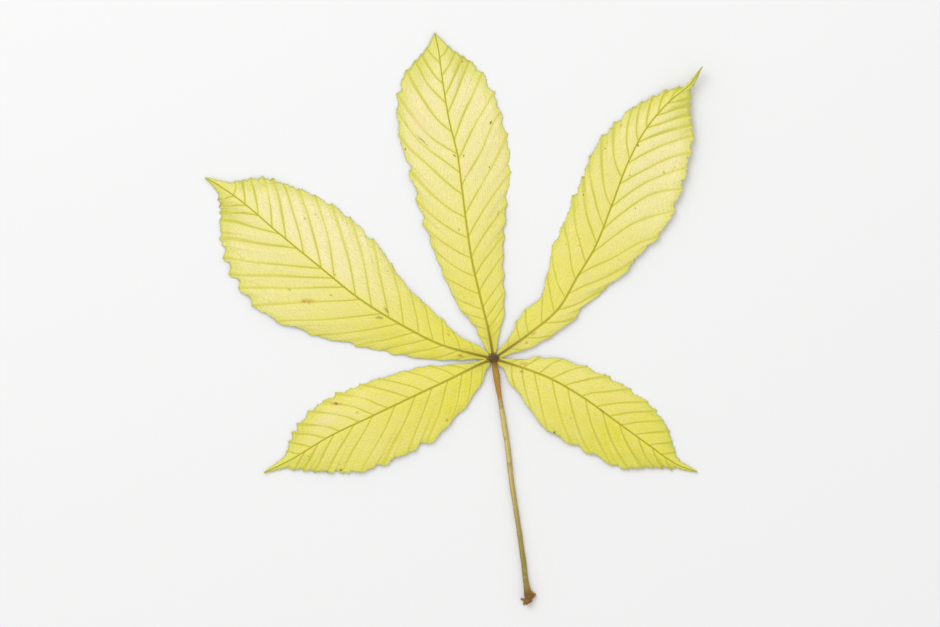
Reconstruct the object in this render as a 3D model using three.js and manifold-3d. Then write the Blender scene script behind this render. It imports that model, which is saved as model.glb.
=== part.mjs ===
// Horse chestnut leaf: five toothed leaflets that spread from the swollen top of one long stalk.
// Millimetres, +Z up. The leaf lies on its underside and the middle leaflet points along +Y.
// While it is built, X and Y are measured from the middle of the hub, where the leaflets meet.
import * as THREE from 'three';
import Module from 'manifold-3d';

const wasm = await Module();
wasm.setup();

// Blade and midrib.
const BLADE_THICKNESS = 0.35;
const MARGIN_THICKNESS = 0.25;
const BASE_STATION = 3.2; // how far from the hub's middle each midrib starts
const TIP_SETBACK = 0.4; // how far short of the tip the last cross-section leaves the midrib
const MIDRIB_DEPTH = { base: 1.7, tip: 0.25 };
const MIDRIB_HALF_WIDTH = { base: 1.1, tip: 0.35 };
const MIDROW = 0.5; // the row halfway along each vein

// Lateral veins lean towards the tip, and each ends at the margin in a saw tooth.
const VEIN_BOW = 0.06; // how far a vein's middle bends outwards, as a share of its length
const BASE_LEAN = 1; // how far beyond its start the first cross-section meets the margin
const LEAST_GAP = 0.3; // between the stations where cross-sections start

// Teeth.
const TOOTH_START = 0.15; // share of the leaflet's length where teeth begin
const TOOTH_FULL = 0.55; // and where they reach their full depth
const TOOTH_END = 0.96; // beyond this the tail has no teeth
const NOTCH = 0.1; // the notch follows each tooth's point by this share of a spacing

// Each leaflet: midrib points [x, y]; midrib heights [share of length, z]; and for each half,
// left and right as seen from the hub, the half-widths [station along the midrib, width], the
// heights of the margin's underside [share of length, z], and the veins [station where it leaves
// the midrib, station where it meets the margin].
const LEAFLETS = {
  leaflet_middle: {
    colour: 0xdedb7f,
    midrib: [[0, 0], [-2.5, 14.2], [-6.2, 29.2], [-10.8, 49.2], [-13.8, 69.2], [-16, 86.8], [-18, 101.8],
      [-22.2, 119.2], [-25.5, 139.2], [-27.5, 154.2], [-29.5, 163.2]],
    lift: [[0, 3.2], [0.3, 4.2], [0.65, 2.6], [1, 2.2]],
    left: {
      toothDepth: 1.3,
      width: [[3.2, 1], [9, 3.9], [20, 7], [27, 10.8], [42, 14.5], [60, 18.4], [80, 22.4], [100, 24.8],
        [116, 26], [128, 25.2], [140, 22.3], [149, 17], [156, 9.4], [161, 4.2], [165.7, 0.3]],
      edge: [[0, 3.2], [0.3, 2.6], [0.55, 2.4], [0.75, 1.6], [0.9, 0], [1, 2.2]],
      veins: [[9, 13], [14.5, 19.5], [20, 27], [25, 35], [33, 46], [42, 60], [51.5, 71.5], [61.5, 84],
        [72, 99], [83.5, 120], [94.5, 131], [104, 138.5], [115.5, 149], [130, 153.5], [140, 156.5],
        [150, 159.5]],
    },
    right: {
      toothDepth: 1.3,
      width: [[3.2, 0.9], [10, 3.8], [15, 6.6], [20, 9.2], [30, 11.9], [50, 15.8], [66, 19], [80, 22],
        [90, 24.7], [108, 26], [122, 25.8], [134, 23.4], [143, 19.8], [150, 14.6], [156, 7], [161, 3.2],
        [165.7, 0.3]],
      edge: [[0, 3.2], [0.3, 2], [0.55, 0], [0.8, 0.8], [1, 2.2]],
      veins: [[10, 15], [15, 24], [20, 31], [26, 38.5], [34, 50], [42.5, 60.5], [52, 76], [62, 92],
        [73.5, 108], [88, 120], [101.5, 132], [111, 143], [125, 150], [134, 152.5], [144, 155], [153, 158]],
    },
  },
  leaflet_upper_left: {
    colour: 0xd9d87a,
    midrib: [[0, 0], [-11.8, 2.8], [-26.8, 7.2], [-44.8, 16.2], [-66.8, 29.8], [-86.8, 45.8], [-106.8, 62.2],
      [-126.8, 79.2], [-141.8, 89.2], [-144.5, 90.5]],
    lift: [[0, 3.2], [0.3, 4.6], [0.7, 2.8], [1, 1.8]],
    left: {
      toothDepth: 2.4,
      width: [[3.2, 0.7], [9, 2.4], [17, 5], [25, 7.4], [40, 12.6], [50, 15.9], [60, 19.5], [70, 23.3],
        [78, 27], [92, 32.6], [105, 35.8], [117, 35.2], [128, 31.8], [136, 28.3], [143, 23.5], [150, 18.6],
        [155, 12.2], [160, 6.4], [165, 2.8], [172.5, 0.3]],
      edge: [[0, 3.2], [0.3, 1.6], [0.5, 2.2], [0.65, 3], [0.85, 0], [1, 1.8]],
      veins: [[10, 18], [17.5, 29], [26, 41], [34, 52.5], [41.5, 63], [50.5, 82], [60.5, 99], [73.5, 113.5],
        [83.5, 124], [90.5, 131.5], [98, 139], [114, 147.5], [125.5, 154], [139.5, 156.5], [147, 158.5],
        [155, 161]],
    },
    right: {
      toothDepth: 1.3,
      width: [[3.2, 0.9], [9, 4.6], [20, 6.9], [26, 9.6], [38, 13.6], [50, 16.2], [62, 19.8], [72, 24],
        [82, 26.4], [96, 28], [110, 28.4], [120, 27], [130, 24.6], [140, 20.6], [148, 16.8], [154, 11.6],
        [159, 6], [164, 3], [172.5, 0.3]],
      edge: [[0, 3.2], [0.3, 1.2], [0.5, 0], [0.75, 1], [1, 1.8]],
      veins: [[9.5, 14], [17, 24], [25, 32.5], [31.5, 45], [39.5, 54.5], [48, 70.5], [56.5, 88],
        [66.5, 103.5], [76.5, 115], [90, 124.5], [98.5, 133.5], [110, 140.5], [121.5, 146], [130.5, 150],
        [140, 154], [148.5, 156.5], [155.5, 159]],
    },
  },
  leaflet_upper_right: {
    colour: 0xd8d777,
    midrib: [[0, 0], [4.2, 2.8], [18.2, 12.8], [32.2, 24.8], [41.8, 40.8], [50.8, 55.8], [58.8, 75.8],
      [67.2, 97.8], [75.8, 114.2], [87.2, 127.8], [98.2, 137.2], [104.5, 146]],
    lift: [[0, 3.2], [0.25, 4], [0.5, 2.4], [0.8, 4.6], [1, 9]],
    left: {
      toothDepth: 1.2,
      width: [[3.2, 1.1], [9, 3.2], [15, 5.4], [22, 9.2], [30, 10.6], [40, 10.2], [50, 13], [57, 14.6],
        [65, 18.2], [78, 19.2], [92, 19.4], [108, 18.3], [126, 17.7], [134, 15], [144, 12.3], [155, 7.8],
        [164, 4.4], [169, 2], [176, 1.2], [183, 0.3]],
      edge: [[0, 3.2], [0.25, 2], [0.45, 0.4], [0.6, 0], [0.8, 2], [1, 9]],
      veins: [[9, 13], [16, 21], [21.5, 28], [29.5, 42], [38, 54], [47.5, 66], [58, 82], [67.5, 97],
        [78.5, 108], [88, 118], [98.5, 129], [114, 136.5], [124, 146], [134, 150.5], [142, 156],
        [151.5, 162], [160, 168]],
    },
    right: {
      toothDepth: 1.7,
      width: [[3.2, 1], [10, 3.3], [18, 6.2], [34, 8.2], [46, 10], [58, 13.8], [68, 17.6], [78, 20.4],
        [88, 25.2], [98, 29], [110, 30.1], [122, 29.8], [134, 27.8], [144, 25.4], [152, 22.4], [158, 18.2],
        [163, 12.6], [167, 7], [171, 3.2], [177, 1.3], [183, 0.3]],
      edge: [[0, 3.2], [0.2, 3.4], [0.35, 3], [0.55, 6.5], [0.75, 9], [0.9, 8.6], [1, 9]],
      veins: [[9.5, 16], [19, 30], [30.5, 43], [40, 62], [49.5, 79], [60, 93], [73, 107.5], [86, 121],
        [98, 134], [110.5, 146], [121.5, 155.5], [133, 160], [141.5, 163.5], [149.5, 166.5], [158, 169]],
    },
  },
  leaflet_lower_left: {
    colour: 0xd5d673,
    midrib: [[0, 0], [-6.8, -2.8], [-21.8, -10.2], [-42.2, -19.8], [-61.8, -29.2], [-81.8, -38.8],
      [-101.8, -50.8], [-115, -57.2]],
    lift: [[0, 3.2], [0.35, 4.4], [0.7, 2.6], [1, 1.6]],
    left: {
      toothDepth: 1.4,
      width: [[3.2, 1], [5.5, 2.9], [10, 8.4], [18, 13.3], [25, 16.4], [32, 19.6], [42, 23.6], [52, 24.3],
        [62, 24.7], [72, 24.4], [82, 23.6], [90, 21], [98, 17], [106, 11.6], [113, 6], [119, 2.6],
        [128.6, 0.3]],
      edge: [[0, 3.2], [0.25, 3], [0.5, 3.6], [0.75, 2.4], [1, 1.6]],
      veins: [[6, 11], [11.5, 22.5], [17, 33], [25, 48.5], [34, 60], [43, 73], [54, 85], [67, 95],
        [77, 101.5], [88, 107], [97, 111], [105, 115]],
    },
    right: {
      toothDepth: 1.2,
      width: [[3.2, 0.6], [9, 2], [17, 4.7], [25, 7.9], [32, 10.8], [42, 13], [54, 14.9], [66, 16.6],
        [78, 17.3], [88, 16.8], [97, 14.4], [105, 11], [110, 7.6], [114, 4.2], [120, 2], [128.6, 0.3]],
      edge: [[0, 3.2], [0.3, 1.4], [0.55, 0], [0.8, 0.4], [1, 1.6]],
      veins: [[8, 14], [14, 22], [21, 31], [29.5, 43], [38.5, 56], [46.5, 66], [58, 79], [66, 86],
        [74, 94], [85, 101.5], [93, 106], [101.5, 110], [108, 113.5]],
    },
  },
  leaflet_lower_right: {
    colour: 0xd2d36c,
    midrib: [[0, 0], [5.8, -1.8], [15.8, -5], [28.2, -9.8], [44.2, -19], [59.2, -29.8], [76.2, -42.2],
      [92.2, -53.2], [102.2, -56.8]],
    lift: [[0, 3.2], [0.35, 4.6], [0.7, 3], [1, 1.4]],
    left: {
      toothDepth: 1.2,
      width: [[3.2, 0.9], [10, 2], [14, 3.9], [20, 6.5], [28, 9.9], [36, 12.4], [48, 14.5], [58, 16.3],
        [66, 17], [78, 16.8], [86, 15], [94, 11.4], [100, 7], [106, 3.2], [111, 1.8], [118, 0.3]],
      edge: [[0, 3.2], [0.3, 1.4], [0.55, 0], [0.8, 0.6], [1, 1.4]],
      veins: [[8, 13], [15.5, 22], [24, 31.5], [30.5, 42.5], [38, 54], [48, 66], [57, 76.5], [65, 83],
        [72.5, 88.5], [81, 94], [90, 98.5], [97.5, 103]],
    },
    right: {
      toothDepth: 1.3,
      width: [[3.2, 1.2], [7, 5], [10, 8.8], [14, 12], [20, 14.8], [27, 18.6], [36, 22], [44, 23.6],
        [54, 23], [64, 21.6], [74, 19.8], [84, 18], [90, 14.6], [96, 9.6], [102, 5.2], [108, 2.2],
        [118, 0.3]],
      edge: [[0, 3.2], [0.25, 3.4], [0.5, 4], [0.75, 2.6], [1, 1.4]],
      veins: [[9.5, 15], [14.8, 28], [21.5, 43], [31, 59], [40, 69], [50.5, 81], [61, 88.5], [71.5, 94.5],
        [83, 98.5], [92, 102], [100, 106]],
    },
  },
};

// Stalk: its route [x, y] from the hub's far side to the foot, and [share of route, half-width].
const STALK_COLOUR = 0x8f7a3c;
const STALK_SIDES = 12;
const STALK_STEPS = 44;
const STALK_ROUTE = [[-0.3, 2.5], [0, 0], [1.5, -9], [3.3, -20.8], [5, -30.8], [7.3, -45.8], [9, -60.8],
  [12, -80.8], [14.9, -100.8], [16.1, -110.8], [17.2, -117.2], [18, -122.4]];
const STALK_HALF_WIDTH = [[0, 0.9], [0.008, 2], [0.02, 2.5], [0.04, 2.3], [0.075, 1.7], [0.14, 1.4],
  [0.3, 1.25], [0.6, 1.25], [0.85, 1.3], [0.93, 1.5], [0.97, 2.1], [1, 2.2]];
const STALK_HEIGHT = [[0, 3], [0.02, 2.9], [0.1, 2.5], [0.35, 1.25]]; // of its axis, until it rests
const STALK_CUT_SLANT = 1.6; // how far the cut at the foot slopes back across the stalk

// Torn scraps of bark that stay on the foot: root, tip, width and thickness.
const SCRAPS = [
  { root: [16.8, -120.8, 1.4], tip: [13.9, -121.9, 0.8], width: 2.6, thickness: 0.8 },
  { root: [18, -118.2, 2], tip: [21.3, -118.4, 1.3], width: 3.6, thickness: 0.9 },
];

const lerp = THREE.MathUtils.lerp;
const ease = (x, from, to) => THREE.MathUtils.smoothstep(x, from, to);

// A smooth curve y(x) through points [x, y], whose slope at each is the mean of its neighbours'.
function smoothThrough(points) {
  const last = points.length - 1;
  const chord = (i) => (points[i + 1][1] - points[i][1]) / (points[i + 1][0] - points[i][0]);
  const slope = (i) => (chord(Math.max(i - 1, 0)) + chord(Math.min(i, last - 1))) / 2;
  return (x) => {
    let i = 0;
    while (i < last - 1 && x > points[i + 1][0]) i += 1;
    const span = points[i + 1][0] - points[i][0];
    const t = THREE.MathUtils.clamp((x - points[i][0]) / span, 0, 1);
    const rise = points[i + 1][1] - points[i][1];
    const a = slope(i) * span - rise;
    const b = rise - slope(i + 1) * span;
    return points[i][1] + rise * t + t * (1 - t) * (a * (1 - t) + b * t);
  };
}

// A broken line y(x) through points [x, y].
function straightThrough(points) {
  return (x) => {
    let i = 0;
    while (i < points.length - 2 && x > points[i + 1][0]) i += 1;
    const share = (x - points[i][0]) / (points[i + 1][0] - points[i][0]);
    return lerp(points[i][1], points[i + 1][1], THREE.MathUtils.clamp(share, 0, 1));
  };
}

// A plane curve through points, measured by the length along them.
function route(points) {
  const stations = [0];
  for (let i = 1; i < points.length; i += 1) {
    const step = Math.hypot(points[i][0] - points[i - 1][0], points[i][1] - points[i - 1][1]);
    stations.push(stations[i - 1] + step);
  }
  const x = smoothThrough(points.map((point, i) => [stations[i], point[0]]));
  const y = smoothThrough(points.map((point, i) => [stations[i], point[1]]));
  const at = (s) => new THREE.Vector2(x(s), y(s));
  const leftOf = (s) => {
    const ahead = at(s + 0.5).sub(at(s - 0.5)).normalize();
    return new THREE.Vector2(-ahead.y, ahead.x);
  };
  return { length: stations[stations.length - 1], at, leftOf };
}

// A closed mesh through rings of the same even number of points, with both ends closed by strips
// that join each ring's first half to its second.
function loft(rings) {
  const count = rings[0].length;
  const corners = rings.flat();
  const faces = [];
  const quad = (a, b, c, d) => faces.push(a, b, c, a, c, d);
  for (let r = 0; r < rings.length - 1; r += 1) {
    for (let i = 0; i < count; i += 1) {
      const next = (i + 1) % count;
      quad(r * count + i, r * count + next, (r + 1) * count + next, (r + 1) * count + i);
    }
  }
  const end = (rings.length - 1) * count;
  for (let i = 0; i < count / 2 - 1; i += 1) {
    const opposite = count - 1 - i;
    quad(opposite, opposite - 1, i + 1, i);
    quad(end + i, end + i + 1, end + opposite - 1, end + opposite);
  }
  return solidGeometry(corners, faces);
}

// Six times the volume inside the faces; negative when they face inwards.
function signedVolume(corners, faces) {
  let total = 0;
  for (let i = 0; i < faces.length; i += 3) {
    const [a, b, c] = [corners[faces[i]], corners[faces[i + 1]], corners[faces[i + 2]]];
    total += a.dot(b.clone().cross(c));
  }
  return total;
}

function solidGeometry(corners, faces) {
  const outward = signedVolume(corners, faces) > 0 ? faces : [...faces].reverse();
  const geometry = new THREE.BufferGeometry();
  const positions = corners.flatMap((corner) => [corner.x, corner.y, corner.z]);
  geometry.setAttribute('position', new THREE.Float32BufferAttribute(positions, 3));
  geometry.setIndex(outward);
  return geometry;
}

// One half of a leaflet's blade, to the left (side 1) or right (side -1) of its midrib.
class HalfBlade {
  constructor(spec, midrib, side) {
    const half = spec[side > 0 ? 'left' : 'right'];
    this.midrib = midrib;
    this.side = side;
    this.toothDepth = half.toothDepth;
    this.width = smoothThrough(half.width);
    this.edge = smoothThrough(half.edge);
    this.lift = smoothThrough(spec.lift);
    this.veins = [[BASE_STATION, BASE_STATION + BASE_LEAN], ...half.veins,
      [midrib.length - TIP_SETBACK, midrib.length]];
    this.marginOf = straightThrough(this.veins);
    this.indexOf = straightThrough(this.veins.map(([root], index) => [root, index]));
  }

  // The saw edge: it climbs to a point at each vein and drops at once behind it.
  tooth(root) {
    const phase = this.indexOf(root) % 1;
    const climb = phase < NOTCH ? 1 - phase / NOTCH : (phase - NOTCH) / (1 - NOTCH);
    const share = this.marginOf(root) / this.midrib.length;
    const fade = ease(share, TOOTH_START, TOOTH_FULL) * (1 - ease(share, TOOTH_END - 0.05, TOOTH_END));
    return this.toothDepth * fade * (climb - 0.6);
  }

  // The underside's point at a share of the way along the vein from this root to the margin.
  pointAt(root, share) {
    const margin = this.marginOf(root);
    const width = this.width(margin) + this.tooth(root);
    const bend = 2 * share * (1 - share);
    const run = bend * (0.5 - VEIN_BOW) + share * share;
    const out = bend * (0.5 + VEIN_BOW) + share * share;
    const station = lerp(root, margin, run);
    const plan = this.midrib.at(station);
    plan.addScaledVector(this.midrib.leftOf(station), this.side * width * out);
    const height = lerp(this.lift(station / this.midrib.length), this.edge(margin / this.midrib.length),
      share * share);
    return new THREE.Vector3(plan.x, plan.y, height);
  }

  // The share of the vein that lies within the midrib.
  midribShare(root) {
    const along = root / this.midrib.length;
    const width = this.width(this.marginOf(root));
    const half = lerp(MIDRIB_HALF_WIDTH.base, MIDRIB_HALF_WIDTH.tip, along);
    return Math.min(0.4, half / (width * (1 + 2 * VEIN_BOW)));
  }
}

// Stations on the midrib where cross-sections start: each vein and the notch behind its tooth.
function sectionRoots(halves) {
  const roots = halves.flatMap(({ veins }) => veins.slice(0, -1).flatMap(([here], index) => (
    [here, lerp(here, veins[index + 1][0], NOTCH)])));
  const end = halves[0].veins.at(-1)[0];
  const sorted = [...roots, end].sort((a, b) => a - b);
  return sorted.filter((root, i) => i === 0 || root - sorted[i - 1] > LEAST_GAP);
}

// One cross-section of the blade: margin to margin over the top, and back along the underside.
function bladeRing(left, right, root) {
  const along = root / left.midrib.length;
  const leftRows = [1, MIDROW, left.midribShare(root)];
  const rightRows = [right.midribShare(root), MIDROW, 1];
  const under = [...leftRows.map((share) => left.pointAt(root, share)), left.pointAt(root, 0),
    ...rightRows.map((share) => right.pointAt(root, share))];
  const last = under.length - 1;
  const top = under.map((point, i) => {
    const thickness = i === 0 || i === last ? MARGIN_THICKNESS : BLADE_THICKNESS;
    return point.clone().setZ(point.z + thickness);
  });
  under[last / 2].z -= lerp(MIDRIB_DEPTH.base, MIDRIB_DEPTH.tip, Math.sqrt(along));
  return [...top, ...under.reverse()];
}

function leafletGeometry(spec) {
  const midrib = route(spec.midrib);
  const left = new HalfBlade(spec, midrib, 1);
  const right = new HalfBlade(spec, midrib, -1);
  const rings = sectionRoots([left, right]).map((root) => bladeRing(left, right, root));
  return loft(rings);
}

// The stalk's shaft: round above, flattened where it rests, with a swollen hub and foot.
function stalkGeometry() {
  const line = route(STALK_ROUTE);
  const halfWidth = smoothThrough(STALK_HALF_WIDTH);
  const restFrom = STALK_HEIGHT[STALK_HEIGHT.length - 1][0];
  const raised = smoothThrough(STALK_HEIGHT);
  const rings = [];
  for (let step = 0; step <= STALK_STEPS; step += 1) {
    const share = (step / STALK_STEPS) ** 1.25;
    const radius = halfWidth(share);
    const axisHeight = share < restFrom ? raised(share) : radius;
    const ring = [];
    for (let i = 0; i < STALK_SIDES; i += 1) {
      const angle = (2 * Math.PI * (i + 0.5)) / STALK_SIDES;
      const across = radius * Math.cos(angle);
      const slant = share === 1 ? (STALK_CUT_SLANT * across) / (2 * radius) : 0;
      const plan = line.at(share * line.length + slant);
      plan.addScaledVector(line.leftOf(share * line.length), across);
      const flat = axisHeight - radius * Math.cos(Math.PI / STALK_SIDES);
      const height = axisHeight + radius * Math.sin(angle) - (share < restFrom ? 0 : flat);
      ring.push(new THREE.Vector3(plan.x, plan.y, height));
    }
    rings.push(ring);
  }
  return loft(rings);
}

// A torn scrap: a thin wedge that narrows from its root to its tip.
function scrapGeometry({ root, tip, width, thickness }) {
  const start = new THREE.Vector3(...root);
  const ahead = new THREE.Vector3(...tip).sub(start);
  const across = new THREE.Vector3(-ahead.y, ahead.x, 0).normalize();
  const rings = [[0, 1], [0.6, 0.8], [1, 0.3]].map(([share, size]) => {
    const middle = start.clone().addScaledVector(ahead, share);
    return [[-1, -1], [1, -1], [1, 1], [-1, 1]].map(([sideways, up]) => middle.clone()
      .addScaledVector(across, (sideways * width * size) / 2)
      .setZ(middle.z + (up * thickness * size) / 2));
  });
  return loft(rings);
}

function toSolid(geometry) {
  return new wasm.Manifold(new wasm.Mesh({
    numProp: 3,
    vertProperties: new Float32Array(geometry.getAttribute('position').array),
    triVerts: new Uint32Array(geometry.getIndex().array),
  }));
}

function fromSolid(solid) {
  const { vertProperties, triVerts } = solid.getMesh();
  const geometry = new THREE.BufferGeometry();
  geometry.setAttribute('position', new THREE.BufferAttribute(vertProperties, 3));
  geometry.setIndex(new THREE.BufferAttribute(triVerts, 1));
  return geometry;
}

// The whole stalk with the scraps of bark joined to its foot.
function petioleGeometry() {
  let solid = toSolid(stalkGeometry());
  for (const scrap of SCRAPS) solid = solid.add(toSolid(scrapGeometry(scrap)));
  return fromSolid(solid);
}

function namedMesh(name, geometry, colour, roughness) {
  const material = new THREE.MeshStandardMaterial({ color: colour, roughness, metalness: 0 });
  const mesh = new THREE.Mesh(geometry, material);
  mesh.name = name;
  return mesh;
}

const leaf = new THREE.Group();
leaf.add(namedMesh('petiole', petioleGeometry(), STALK_COLOUR, 0.6));
for (const [name, spec] of Object.entries(LEAFLETS)) {
  leaf.add(namedMesh(name, leafletGeometry(spec), spec.colour, 0.55));
}

// The origin goes to the middle of the leaf's footprint, on the surface that it lies on.
const box = new THREE.Box3().setFromObject(leaf);
const centre = box.getCenter(new THREE.Vector3());
leaf.position.set(-centre.x, -centre.y, -box.min.z);
leaf.updateMatrixWorld(true);

export default leaf;
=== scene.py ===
"""A horse chestnut leaf that has turned yellow, lying on its underside on a pale studio floor.

Five toothed leaflets spread from the swollen top of one long stalk. Each leaflet is grown here as a thin
closed sheet with a raised midrib, sunk side veins and a double saw edge, and the stalk as one skin with
its hub, joints, pores and torn foot. Plans are in millimetres, measured from the middle of the hub, with
the middle leaflet along +Y. Finished meshes are in metres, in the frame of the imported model.
"""

import logging
import math
from dataclasses import dataclass
from enum import Enum
from typing import Any, Mapping, Sequence, Union

import bpy
import numpy as np
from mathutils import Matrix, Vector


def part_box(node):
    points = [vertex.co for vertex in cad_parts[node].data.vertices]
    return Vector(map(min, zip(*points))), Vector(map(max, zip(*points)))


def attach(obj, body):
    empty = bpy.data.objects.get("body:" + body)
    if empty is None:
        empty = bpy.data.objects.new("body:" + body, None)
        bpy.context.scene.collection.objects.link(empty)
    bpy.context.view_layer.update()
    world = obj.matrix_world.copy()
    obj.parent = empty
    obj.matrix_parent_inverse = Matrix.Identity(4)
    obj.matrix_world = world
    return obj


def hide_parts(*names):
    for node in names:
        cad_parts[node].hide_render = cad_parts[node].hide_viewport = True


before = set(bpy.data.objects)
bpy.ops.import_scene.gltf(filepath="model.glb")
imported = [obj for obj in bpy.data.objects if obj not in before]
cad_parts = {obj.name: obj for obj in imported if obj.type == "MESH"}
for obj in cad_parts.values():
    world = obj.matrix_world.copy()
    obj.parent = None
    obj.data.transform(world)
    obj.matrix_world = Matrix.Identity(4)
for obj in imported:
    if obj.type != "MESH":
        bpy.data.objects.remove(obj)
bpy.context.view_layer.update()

MM = 0.001

Array = np.ndarray
Points = Sequence[tuple[float, float]]
Colour = tuple[float, float, float]
log = logging.getLogger("leaf")


def lerp(start: Any, end: Any, share: Any) -> Any:
    """Return the value that lies a share of the way from start to end."""
    return start + (end - start) * share


def ease(value: Any, low: float, high: float) -> Any:
    """Return 0 up to low, 1 from high on, and a smooth step between them."""
    share = np.clip((value - low) / (high - low), 0, 1)
    return share * share * (3 - 2 * share)


def tint(code: str) -> Colour:
    """Turn a hex colour as a painter mixes it on screen into linear light.

    Args:
        code: six hex digits, two each for red, green and blue.

    Returns:
        The linear red, green and blue.
    """
    screen = [int(code[i:i + 2], 16) / 255 for i in (0, 2, 4)]
    return tuple(c / 12.92 if c <= 0.04045 else ((c + 0.055) / 1.055) ** 2.4 for c in screen)


# ---- Curves and unevenness ----


class SmoothCurve:
    """A smooth y(x) through points, whose slope at each is the mean of the chords beside it."""

    def __init__(self, points: Points) -> None:
        """Keep the points, which are in order of x, and work out the slopes."""
        self.x, self.y = np.array(points, float).T
        chords = np.diff(self.y) / np.diff(self.x)
        padded = np.concatenate([chords[:1], chords, chords[-1:]])
        self.slopes = (padded[:-1] + padded[1:]) / 2

    def __call__(self, x: Any) -> Any:
        """Find the curve's height.

        Args:
            x: one or many places along the curve.

        Returns:
            y at each place; beyond the ends it stays level.
        """
        i = np.clip(np.searchsorted(self.x, x) - 1, 0, len(self.x) - 2)
        span = self.x[i + 1] - self.x[i]
        rise = self.y[i + 1] - self.y[i]
        t = np.clip((x - self.x[i]) / span, 0, 1)
        a = self.slopes[i] * span - rise
        b = rise - self.slopes[i + 1] * span
        return self.y[i] + rise * t + t * (1 - t) * (a * (1 - t) + b * t)


class PlaneRoute:
    """A plane curve through points, measured by the length along them."""

    REACH = 0.5  # half the chord that gives the direction

    def __init__(self, points: Points) -> None:
        """Measure the route's points."""
        corners = np.array(points, float)
        steps = np.hypot(*np.diff(corners, axis=0).T)
        stations = np.concatenate([[0.0], np.cumsum(steps)])
        self.length = float(stations[-1])
        self._x = SmoothCurve(list(zip(stations, corners[:, 0])))
        self._y = SmoothCurve(list(zip(stations, corners[:, 1])))

    def at(self, station: Array) -> Array:
        """Return the points [x, y] at these stations."""
        return np.stack([self._x(station), self._y(station)], -1)

    def left_of(self, station: Array) -> Array:
        """Return the unit vectors that point to the route's left at these stations."""
        ahead = self.at(station + self.REACH) - self.at(station - self.REACH)
        ahead /= np.linalg.norm(ahead, axis=-1, keepdims=True)
        return np.stack([-ahead[..., 1], ahead[..., 0]], -1)


@dataclass(frozen=True)
class Ripple:
    """Smooth seeded unevenness: many long waves that cross at random angles."""

    length: float
    height: float
    seed: int
    waves: int = 12

    def __call__(self, *place: Array) -> Array:
        """Measure the unevenness.

        Args:
            place: the coordinates of the places, one array for each axis.

        Returns:
            The height at each place, mostly within plus or minus the ripple's height.
        """
        rng = np.random.default_rng(self.seed)
        total = np.zeros(np.broadcast(*place).shape)
        for _ in range(self.waves):
            heading = rng.normal(size=len(place))
            heading /= np.linalg.norm(heading)
            length = self.length * rng.uniform(0.7, 1.6)
            angle = sum(axis * part for axis, part in zip(place, heading))
            total += np.sin(2 * math.pi * (angle / length + rng.uniform()))
        return self.height * total / math.sqrt(self.waves)


# ---- Plans of the leaflets ----


class Side(Enum):
    """The two halves of a blade, as seen from the hub."""

    LEFT = 1
    RIGHT = -1


class Mark(Enum):
    """What has marked a blade."""

    SCORCH = "scorch"
    SMUDGE = "smudge"
    SPECK = "speck"
    BLUSH = "blush"


@dataclass(frozen=True)
class Blemish:
    """A mark on a blade.

    Its middle is given by the station along the midrib and the offset to the midrib's left, and its
    turn by the angle from the midrib. Length and width are half-sizes.
    """

    mark: Mark
    station: float
    offset: float
    length: float = 0.42
    width: float = 0.34
    turn: float = 0.0


@dataclass(frozen=True)
class HalfPlan:
    """One half of a blade.

    width holds [station, half-width], edge the margin's [share of length, height], veins [station
    where it leaves the midrib, station where it meets the margin], bow [share of length, how far the
    veins' middles bend outwards] and green [share of length, how green the blade still is; on the
    upper right leaflet's left half it also paints the shade of that half's tilt].
    """

    width: Points
    edge: Points
    veins: Points
    bow: Points
    green: Points
    tooth_depth: float = 1.3
    fine_teeth: int = 5
    fine_depth: float = 0.6


@dataclass(frozen=True)
class LeafletPlan:
    """A leaflet's midrib [x, y], the midrib's heights [share of length, z] and its two halves."""

    name: str
    seed: int
    midrib: Points
    lift: Points
    left: HalfPlan
    right: HalfPlan
    blemishes: tuple[Blemish, ...] = ()


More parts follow.
